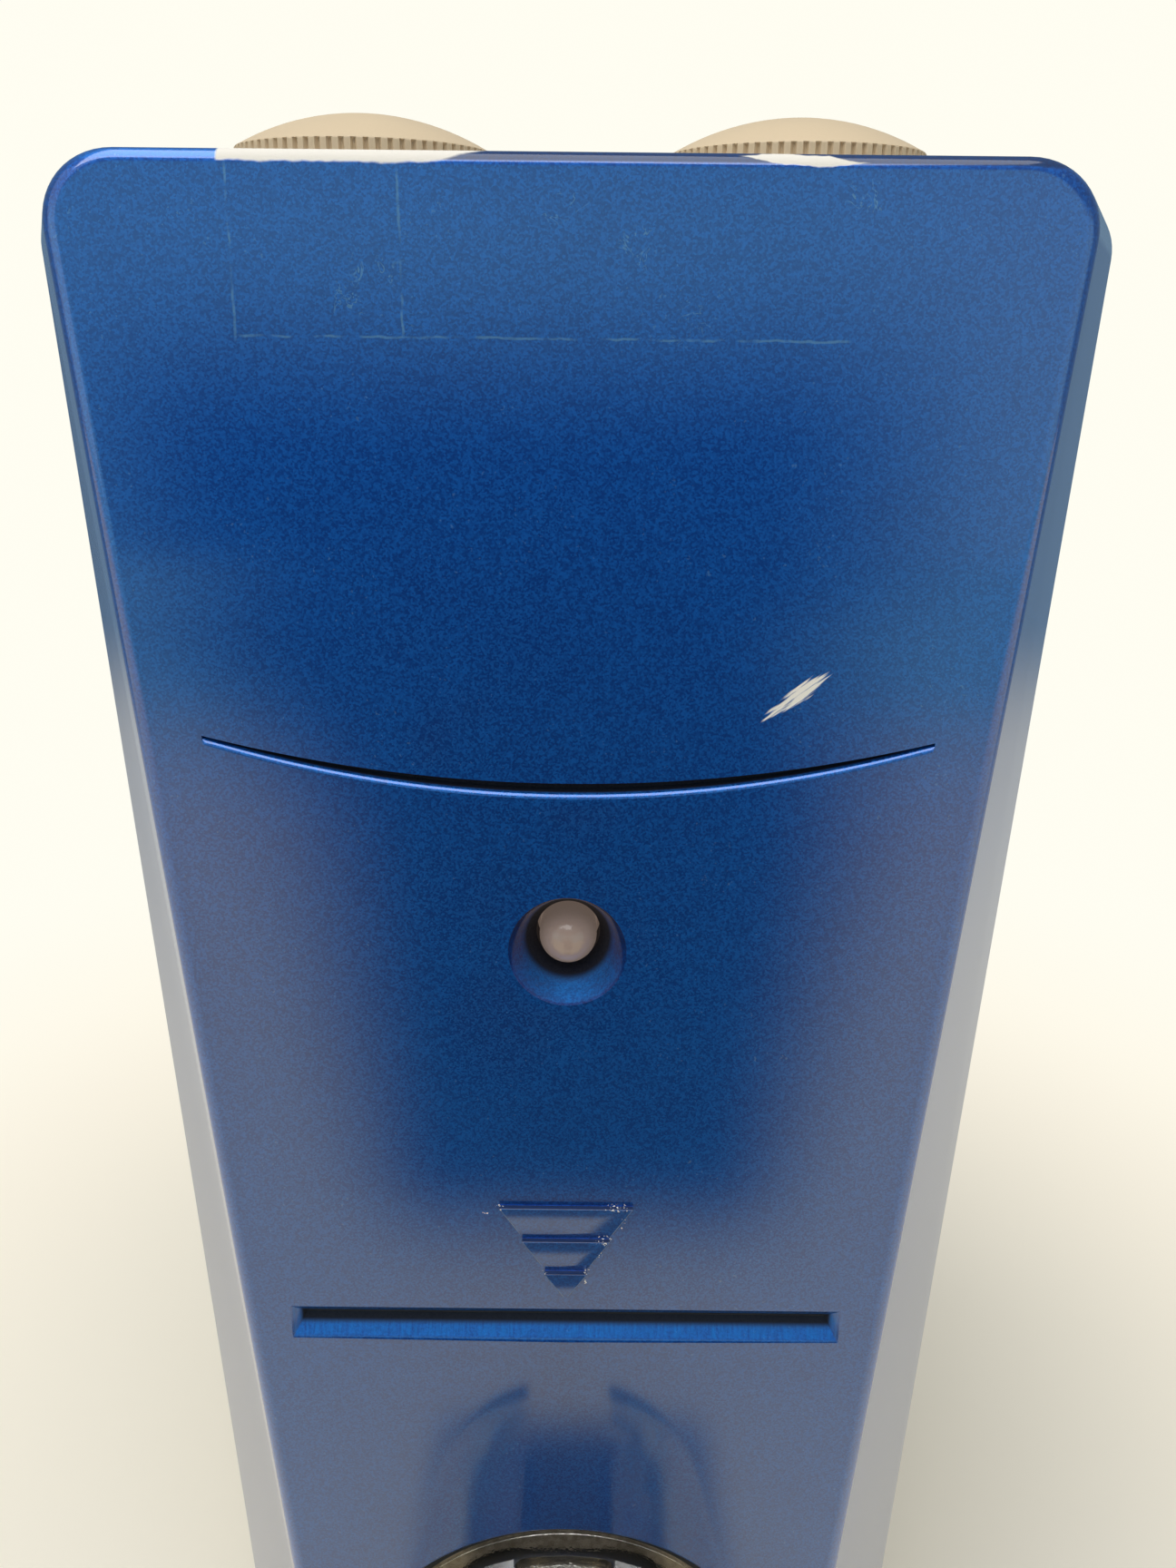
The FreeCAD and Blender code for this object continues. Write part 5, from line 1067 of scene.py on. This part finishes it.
class SealerRearShell(bpy.types.Operator):
    """Rear shell: vents, inlet and switch windows, screw posts with sunk holes, and holes for the knobs"""
    bl_idname = "sealer.rear_shell"
    bl_label = "Rear shell"

    def execute(self, context):
        house = settings("housing")
        back = REAR_HIGH.y
        shell = carve(rear_form(0.0), rear_form(house.wall))
        spots = [middle(box).xz for box in parts_of("housing_screws")]
        posts = [cylinder(house.post, parting_at(spot[1]) + house.post_gap, back - house.wall / 2,
                          across=spot, steps=48) for spot in spots]
        carve(shell, *posts, operation="UNION")
        for spot in spots:
            carve(shell, cylinder(house.sink, back - house.sink_deep, back + OVER, across=spot, steps=64),
                  cylinder(SCREW_HOLE, parting_at(spot[1]) - OVER, back, across=spot, steps=32))
        self.windows(shell, back)
        for joint in ("time_knob_turn", "power_knob_turn"):
            carve(shell, cylinder(house.shaft_hole, FRONT_HIGH.z - 2 * house.wall, FRONT_HIGH.z + OVER,
                                  axis=2, across=JOINTS[joint]["pos_m"][:2], steps=64))
        bevel(shell, 0.3 * MM, 3, lambda edge: is_sharp(edge) and level(edge, back))
        finish(shell, "rear_cover", ["rear_shell"])
        return {"FINISHED"}

    def windows(self, shell, back):
        house = settings("housing")
        inner = back - 2 * house.wall
        half = house.vent_width / 2
        first = brick((-house.vent_half, inner, house.vent_start - half),
                      (house.vent_half, back + OVER, house.vent_start + half), half * 0.98, 8)
        slots = [first] + [again(first, (0, 0, step * house.vent_pitch)) for step in range(1, house.vents)]
        carve(shell, join(*slots))
        for node, wide, tall in (("mains_inlet", 13.6 * MM, 16 * MM), ("rocker_frame", 6.45 * MM, 9.6 * MM)):
            centre = middle(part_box(node))
            carve(shell, brick((-wide, inner, centre.z - tall), (wide, back + OVER, centre.z + tall)))
        for box in parts_of("inlet_screws"):
            carve(shell, cylinder(SCREW_HOLE, inner, back + OVER, across=middle(box).xz, steps=32))


# ---------------------------------------------------------------- knobs, guard and lamp

# Columns of the knob's side wall for each rib.
COLUMNS = 10

class SealerKnobs(bpy.types.Operator):
    """Setting knobs: a low dome over a ribbed rim, turned once and copied"""
    bl_idname = "sealer.knobs"
    bl_label = "Knobs"

    def execute(self, context):
        first = self.turned_knob()
        self.rib(first)
        self.mark(first)
        second = again(first, (0, 0, 0))
        for item, node in ((first, "time_knob"), (second, "power_knob")):
            spot = Vector((*JOINTS[node + "_turn"]["pos_m"][:2], FRONT_HIGH.z))
            finish(item, node.replace("_", "_setting_"), [node], Matrix.Translation(spot), smooth=40)
        return {"FINISHED"}

    def dome(self):
        """Radius of the ball that the dome is part of."""
        knob = settings("knob")
        return (knob.radius ** 2 + knob.dome ** 2) / (2 * knob.dome)

    def turned_knob(self):
        knob = settings("knob")
        crest, lip = knob.radius, 0.3 * MM
        top = knob.rim + knob.dome
        ceiling = knob.lift + knob.cavity_tall
        shoulder = (knob.radius - lip, knob.rim + lip * 0.35)
        self.rib_top = knob.rim - knob.land
        profile = [(0, knob.bore_top), (knob.bore, knob.bore_top), (knob.bore, ceiling),
                   (knob.cavity, ceiling), (knob.cavity, knob.lift), (crest - 0.8 * MM, knob.lift),
                   (crest, knob.lift + lip), (crest, self.rib_top), (crest - 0.04 * MM, knob.rim - 0.06 * MM),
                   (crest - 0.14 * MM, knob.rim + 0.04 * MM)]
        profile += arc(shoulder, (0, top), self.dome(), 14) + [(0, top)]
        return turned(profile, axis=2, steps=COLUMNS * knob.ribs)

    def rib(self, item):
        """Draw four of every ten columns of the side wall in, which leaves the ribs standing."""
        knob = settings("knob")
        columns = COLUMNS * knob.ribs
        crest = knob.radius

        def column(place):
            return round(math.atan2(place.y, place.x) / math.tau * columns) % COLUMNS

        for inset, wanted in ((knob.rib_deep, (0, 1)), (knob.rib_deep * 0.6, (9, 2))):
            with editing(item):
                pick(item, "VERT", lambda vert: abs(vert.co.xy.length - crest) < NEAR * 5
                     and vert.co.z < self.rib_top + NEAR and column(vert.co) in wanted)
                share = (crest - inset) / crest
                bpy.ops.transform.resize(value=(share, share, 1), center_override=(0, 0, 0))

    def mark(self, item):
        """A pointer line sunk in the dome, on its far side at the middle setting."""
        knob = settings("knob")
        half, sunk = 0.4 * MM, 0.35 * MM
        tool = brick((-half, knob.radius * 0.45, knob.rim + half / 2),
                     (half, knob.radius * 0.86, knob.rim + knob.dome + OVER), half * 0.95, 5, axis=2)
        dome = self.dome()
        ball = dome - sunk
        below = turned([(0, -knob.radius), (ball, -knob.radius), (ball, 0)]
                       + arc((ball, 0), (0, ball), ball, 60) + [(0, ball)], axis=2)
        carve(tool, shift(below, (0, 0, knob.rim + knob.dome - dome)))
        carve(item, tool)


class SealerGuard(bpy.types.Operator):
    """Clear guard over the sealing head, and the rubber ring that holds it in the recess"""
    bl_idname = "sealer.guard"
    bl_label = "Guard"

    def execute(self, context):
        guard, panel = settings("guard"), settings("panel")
        place = panel_frame(panel.head_drop)
        top = guard.seat
        front = -guard.reach
        taper = (guard.root - guard.front) / (guard.reach + guard.seat)
        outer = turned([(0, top), (guard.root, top), (guard.front, front), (0, front)], steps=160)
        bevel(outer, guard.edge, 6, lambda edge: level(edge, front) and is_sharp(edge))
        inner_root, inner_front = guard.root - guard.wall, guard.front - guard.wall
        floor = front + guard.wall
        inner = turned([(0, top + OVER), (inner_root + taper * OVER, top + OVER), (inner_front, floor),
                        (0, floor)], steps=160)
        bevel(inner, guard.inner_edge, 4, lambda edge: level(edge, floor) and is_sharp(edge))
        rails = [brick((x, front, z), (x + guard.rail, 0, z + guard.root))
                 for x in (guard.slot, -guard.slot - guard.rail)
                 for z in (guard.rail_start, -guard.rail_start - guard.root)]
        carve(inner, *rails)
        carve(outer, inner)
        carve(outer, brick((-guard.slot, front - OVER, -2 * guard.root),
                           (guard.slot, -guard.ring, 2 * guard.root), guard.inner_edge, 4, axis=2))
        groove = guard.seal_deep - guard.seal - guard.seal_play
        width = 2 * (guard.seal + guard.seal_play)
        seat = panel.recess - guard.seal_gap - width
        ring = carve(cylinder(2 * guard.root, groove, groove + width),
                     cylinder(seat, groove - OVER, groove + width + OVER, steps=160))
        carve(outer, ring)
        bevel(outer, guard.slot_edge, 3, lambda edge: is_sharp(edge, 50) and all(
            abs(abs(spot.x) - guard.slot) < NEAR and spot.y < 0 for spot in ends(edge)))
        finish(outer, "clear_guard", ["splash_guard"], place, smooth=35)
        self.seal(place)
        return {"FINISHED"}

    def seal(self, place):
        guard, panel = settings("guard"), settings("panel")
        ring = fresh(bpy.ops.mesh.primitive_torus_add, major_segments=128, minor_segments=16,
                     major_radius=panel.recess - guard.seal_gap - guard.seal, minor_radius=guard.seal,
                     location=(0, guard.seal_deep, 0), rotation=(math.pi / 2, 0, 0))
        finish(settle(ring), "guard_ring", ["guard_seal"], place)


class SealerLamp(bpy.types.Operator):
    """Ready lamp: a domed lens with its cup and post inside, on two legs"""
    bl_idname = "sealer.lamp"
    bl_label = "Ready lamp"

    def execute(self, context):
        panel = settings("panel")
        place = panel_frame(panel.lamp_drop)
        # Depths of the lens's tip, its back and the cup's rim behind the panel.
        radius, tip, back = panel.lamp_radius, 1.3 * MM, 7.3 * MM
        cup_top = tip + 2.2 * MM
        flange = radius * 1.16
        lens = turned([(0, tip)] + arc((0, tip), (radius, tip + radius), radius, 14)[1:]
                      + [(radius, tip + radius), (radius, back), (flange, back), (flange, back + OVER),
                         (0, back + OVER)], steps=64)
        bevel(lens, 0.12 * MM, 2, lambda edge: is_sharp(edge, 40))
        finish(lens, "ready_lamp_lens", ["ready_led"], place)
        cup = turned([(0, cup_top + 0.7 * MM), (0.55 * MM, cup_top + 0.7 * MM), (1.15 * MM, cup_top),
                      (1.3 * MM, cup_top), (1.3 * MM, cup_top + 0.9 * MM), (0.5 * MM, cup_top + 1.6 * MM),
                      (0.5 * MM, back), (0, back)], steps=48)
        legs = [cylinder(0.25 * MM, cup_top + start, back + 3.7 * MM, across=(x, 0), steps=16)
                for x, start in ((-1.27 * MM, 0.3 * MM), (1.27 * MM, 1.4 * MM))]
        finish(join(cup, *legs), "ready_lamp_frame", ["ready_led"], place, slot="zinc_steel", replace=False)
        return {"FINISHED"}


# ---------------------------------------------------------------- feet and fasteners

class SealerFeet(bpy.types.Operator):
    """Rubber feet: a tapered foot with a sunk screw hole, turned once and copied"""
    bl_idname = "sealer.feet"
    bl_label = "Feet"

    def execute(self, context):
        boxes = parts_of("rubber_feet")
        low, high = boxes[0]
        wide, tall = (high.x - low.x) / 2, high.z - low.z
        narrow = wide - 1 * MM
        # The screw's hole, the wider sunk part for its head, and where that part ends.
        hole, sink, sunk = SCREW_HOLE, 3.5 * MM, tall - 5.6 * MM
        first = turned([(sink, 0), (wide - 0.9 * MM, 0), (wide - 0.25 * MM, 0.25 * MM), (wide, 0.9 * MM),
                        (narrow, tall), (hole, tall), (hole, sunk), (sink, sunk), (sink, 0)],
                       axis=2, steps=64)
        feet = [again(first, (*middle(box).xy, box[0].z)) for box in boxes]
        bpy.data.objects.remove(first)
        finish(join(*feet), "feet", ["rubber_feet"])
        return {"FINISHED"}


def pan_screw(reach, radius, head, tall):
    """A thread-forming screw with a cross-recessed pan head, its head's face at the origin and its tip up."""
    pitch, root = radius * 0.62, radius * 0.78
    profile = [(0, reach), (root * 0.3, reach), (root, reach - radius)]
    place = reach - radius - pitch
    while place > tall + 2 * pitch:
        profile += [(radius, place + pitch * 0.4), (root, place)]
        place -= pitch
    crown = arc((head, tall * 0.55), (0, 0), head * 1.6, 6)
    profile += [(radius, tall + pitch), (radius, tall), (head, tall)] + crown + [(0, 0)]
    screw = turned(profile, axis=2, steps=32)
    deep, long, thin = tall * 0.62, head * 0.62, head * 0.17
    for x, y in ((long, thin), (thin, long)):
        carve(screw, brick((-x, -y, -OVER), (x, y, deep)))
    return screw


class SealerScrews(bpy.types.Operator):
    """Screws that show: in the back wall, round the inlet and up through the feet"""
    bl_idname = "sealer.screws"
    bl_label = "Screws"

    def execute(self, context):
        for node, way in (("housing_screws", -BACK), ("inlet_screws", -BACK), ("foot_screws", UP)):
            axis = main_axis(way)
            turn = way.to_track_quat("Z", "Y").to_matrix().to_4x4()
            copies = []
            for low, high in parts_of(node):
                size = high - low
                head = min(size[index] for index in range(3) if index != axis) / 2
                radius = head / 1.9
                start = middle((low, high))
                start[axis] = high[axis] if way[axis] < 0 else low[axis]
                screw = pan_screw(size[axis], radius, head, radius * 1.2)
                copies.append(settle(screw, Matrix.Translation(start) @ turn))
            finish(join(*copies), node.replace("screws", "fixings"), [node])
        return {"FINISHED"}


# ---------------------------------------------------------------- everything else

# CAD nodes whose edges are rounded: the finished piece's name and the radius in millimetres.
DRESSED = {
    "head_plate": ("head_floor", 0.25), "head_body": ("head_block", 0.4),
    "fixed_electrode": ("left_electrode", 0.2),
    "moving_electrode": ("right_electrode", 0.2), "tube_trigger": ("trigger_finger", 0.25),
    "mains_inlet": ("inlet_housing", 0.35), "inlet_pins": ("inlet_blades", 0.3),
    "fuse_drawer": ("fuse_tray", 0.25),
    "rocker_frame": ("switch_frame", 0.3), "rocker_paddle": ("switch_paddle", 0.3),
}


class SealerHardware(bpy.types.Operator):
    """Pieces of the head, the inlet and the switch, with their edges rounded"""
    bl_idname = "sealer.hardware"
    bl_label = "Hardware"

    def execute(self, context):
        for node, (name, width) in DRESSED.items():
            finish(dressed(node, width * MM), name, [node])
        return {"FINISHED"}


# Springs: the finished piece's name and the joint that shortens it.
SPRINGS = {"jaw_springs": ("return_coils", "jaw_close"), "trigger_spring": ("trigger_coil", "trigger_press")}


class SealerSprings(bpy.types.Operator):
    """The springs, as copies of their CAD nodes with whole faces and meshes of their own"""
    bl_idname = "sealer.springs"
    bl_label = "Springs"

    def execute(self, context):
        joints = {joint["name"]: joint for joint in frame["record"]["behaviour"]["joints"]}
        for node, (name, joint) in SPRINGS.items():
            low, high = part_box(node)
            coil = finish(dressed(node, width=0), name, [node], smooth=60)
            way = Vector(joints[joint]["axis"])
            axis = main_axis(way)
            long = high[axis] - low[axis]
            anchor = middle((low, high))
            anchor[axis] += math.copysign(long / 2, way[axis])
            travel = joints[joint]["range_m"][1] + SPRING_GAP
            1 - travel / long
            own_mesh(coil)
        return {"FINISHED"}


class SealerInside(bpy.types.Operator):
    """Finish of every CAD node that keeps its own mesh"""
    bl_idname = "sealer.inside"
    bl_label = "Inside"

    def execute(self, context):
        for node, item in frame["nodes"].items():
            item.data.materials.clear()
            item.data.materials.append(material(SLOT_OF[node]))
        return {"FINISHED"}


# ---------------------------------------------------------------- stage

# Lamps: name, place, the point that it faces, size in metres and power in watts.
LAMPS = (("ceiling_light", (-0.1, -0.28, 0.95), (0, 0, 0.1), 0.9, 8.2),
         ("side_light", (-0.8, -0.45, 0.5), (0, 0, 0.12), 0.8, 0.8))
# Where the table changes, in metres from its middle: from its warm to its paler colour, into the backdrop,
# the backdrop's own warm start, and the end of the table that glossy surfaces mirror.
FLOOR_PALES, FLOOR_FADES, BACKDROP_NEARS, MIRRORED_FADES = (0.1, 0.45), (0.05, 0.22), (0.3, 0.12), (0.42, 0.7)
# Along Y, where the table in front starts and ends in reflections.
MIRRORED_FRONT, MIRRORED_EDGE = (-0.05, -0.09), (-0.5, -1.1)


class SealerStage(bpy.types.Operator):
    """Table, backdrop, lamps and camera"""
    bl_idname = "sealer.stage"
    bl_label = "Stage"

    def execute(self, context):
        values = settings("stage")
        self.floor(values)
        self.room(values)
        self.lamps()
        self.camera(values)
        return {"FINISHED"}

    def floor(self, values):
        """A table top, warm beside the object, that fades into the pale backdrop away from it. In reflections
        it ends sooner, the front of the object mirrors whoever stands at the table, and a painted shadow lies
        on the table just in front of the object."""
        floor = fresh(bpy.ops.mesh.primitive_plane_add, size=6, location=(0, 0, 0))
        floor.name = "table_top"
        top = Finish("table_top", Roughness=0.5)
        x, y = top.axes()[:2]
        apart = (x * x + y * y) ** 0.5
        camera, glossy, clear = top.rays()
        top.set("Base Color", top.mix(apart.between(*FLOOR_PALES), values.near, values.floor))
        seen = ((camera | clear) * apart.between(*FLOOR_FADES)
                | glossy * (apart.between(*MIRRORED_FADES) | y.between(*MIRRORED_FRONT)))
        front = top.mix(y.between(*MIRRORED_EDGE), values.warm, values.cool)
        sky = top.mix(apart.between(*BACKDROP_NEARS), values.sky, values.near)
        far = top.mix(glossy, sky, top.mix(y.between(0, -0.05), values.dim, front))
        aside = abs(x + 0.1 * y.between(-0.5, -1.5))
        person = (aside / (-0.3 * y - 0.015)).between(1.4, 0.6) * y.between(-0.18, -0.235)
        # Painted shadow: a dark patch on the table just in front of the object, seen only in reflections.
        near = abs(x).between(0.03, 0.02) * y.between(-0.152, -0.138)
        shine = top.add("ShaderNodeEmission", {}, far, 1.0)
        dark = top.add("ShaderNodeEmission", {}, values.person, 1.0)
        table = Wire(top, top.shader.outputs[0])
        top.show(top.blend(glossy * (person | near * 0.9), top.blend(seen, table, shine), dark),
                 "Material Output")
        floor.data.materials.append(top.material)

    def room(self, values):
        """Even light, a pale backdrop, and for reflections a room with its light in front."""
        world = bpy.data.worlds.new("room")
        bpy.context.scene.world = world
        room = Shading(world, "Generated")
        x, y, z = room.axes()
        camera, glossy, clear = room.rays()
        front = y.between(-0.1, -0.4) * z.between(0.45, 0.2)
        person = ((abs(x - 0.08 * y) / (-0.34 * y)).between(1.4, 0.6) * y.between(0, -0.1)
                  * z.between(0.2, 0.02))
        lit = room.mix((x / (-1 * y)).between(0.1, 0.45), values.cool, values.window)
        mirrored = room.mix(person, room.mix(front, values.dim, lit), values.person)
        even, mirror, seen = (room.add("ShaderNodeBackground", {}, shade, strength) for shade, strength in (
            (values.even, values.ambient), (mirrored, 1.0), (values.sky, 1.0)))
        room.show(room.blend(camera | clear, room.blend(glossy, even, mirror), seen), "World Output")

    def lamps(self):
        for name, place, aim, size, power in LAMPS:
            lamp = fresh(bpy.ops.object.light_add, type="AREA", location=place)
            lamp.name = name
            lamp.data.size = size
            lamp.data.energy = power
            lamp.rotation_euler = (Vector(place) - Vector(aim)).to_track_quat("Z", "Y").to_euler()

    def camera(self, values):
        target = panel_frame(values.view_drop).translation + values.eye_across * RIGHT
        forward = Vector((0, math.cos(values.eye_fall), -math.sin(values.eye_fall)))
        camera = fresh(bpy.ops.object.camera_add, location=target - forward * values.eye_distance)
        camera.data.sensor_width = 36
        camera.data.lens = values.lens
        camera.data.clip_start = 5 * MM
        aim = forward.to_track_quat("-Z", "Y").to_matrix().to_4x4()
        roll = Matrix.Rotation(values.eye_roll, 4, "Z")
        camera.matrix_world = Matrix.Translation(camera.location) @ aim @ roll
        bpy.context.scene.camera = camera
        bpy.context.scene.view_settings.view_transform = "Standard"


OPERATORS = (SealerStage, SealerFrontShell, SealerRearShell, SealerKnobs, SealerGuard, SealerLamp, SealerFeet,
             SealerScrews, SealerHardware, SealerSprings, SealerInside)


class SealerPanel(bpy.types.Panel):
    """Lists the settings and the steps in order"""
    bl_idname = "SEALER_PT_steps"
    bl_label = "Tube sealer"
    bl_space_type = "VIEW_3D"
    bl_region_type = "UI"
    bl_category = "Tube sealer"

    def draw(self, context):
        for name, group in GROUPS.items():
            values = getattr(context.scene, name)
            for key in group.__annotations__:
                self.layout.prop(values, key)
        for operator in OPERATORS:
            self.layout.operator(operator.bl_idname)


def register():
    for item in (*GROUPS.values(), *OPERATORS, SealerPanel):
        bpy.utils.register_class(item)
    for name, group in GROUPS.items():
        setattr(bpy.types.Scene, name, PointerProperty(type=group))


def unregister():
    for name in GROUPS:
        delattr(bpy.types.Scene, name)
    for item in (SealerPanel, *reversed(OPERATORS), *reversed(GROUPS.values())):
        bpy.utils.unregister_class(item)


def main():
    register()
    for operator in OPERATORS:
        group, name = operator.bl_idname.split(".")
        getattr(getattr(bpy.ops, group), name)()


if __name__ == "__main__":
    main()
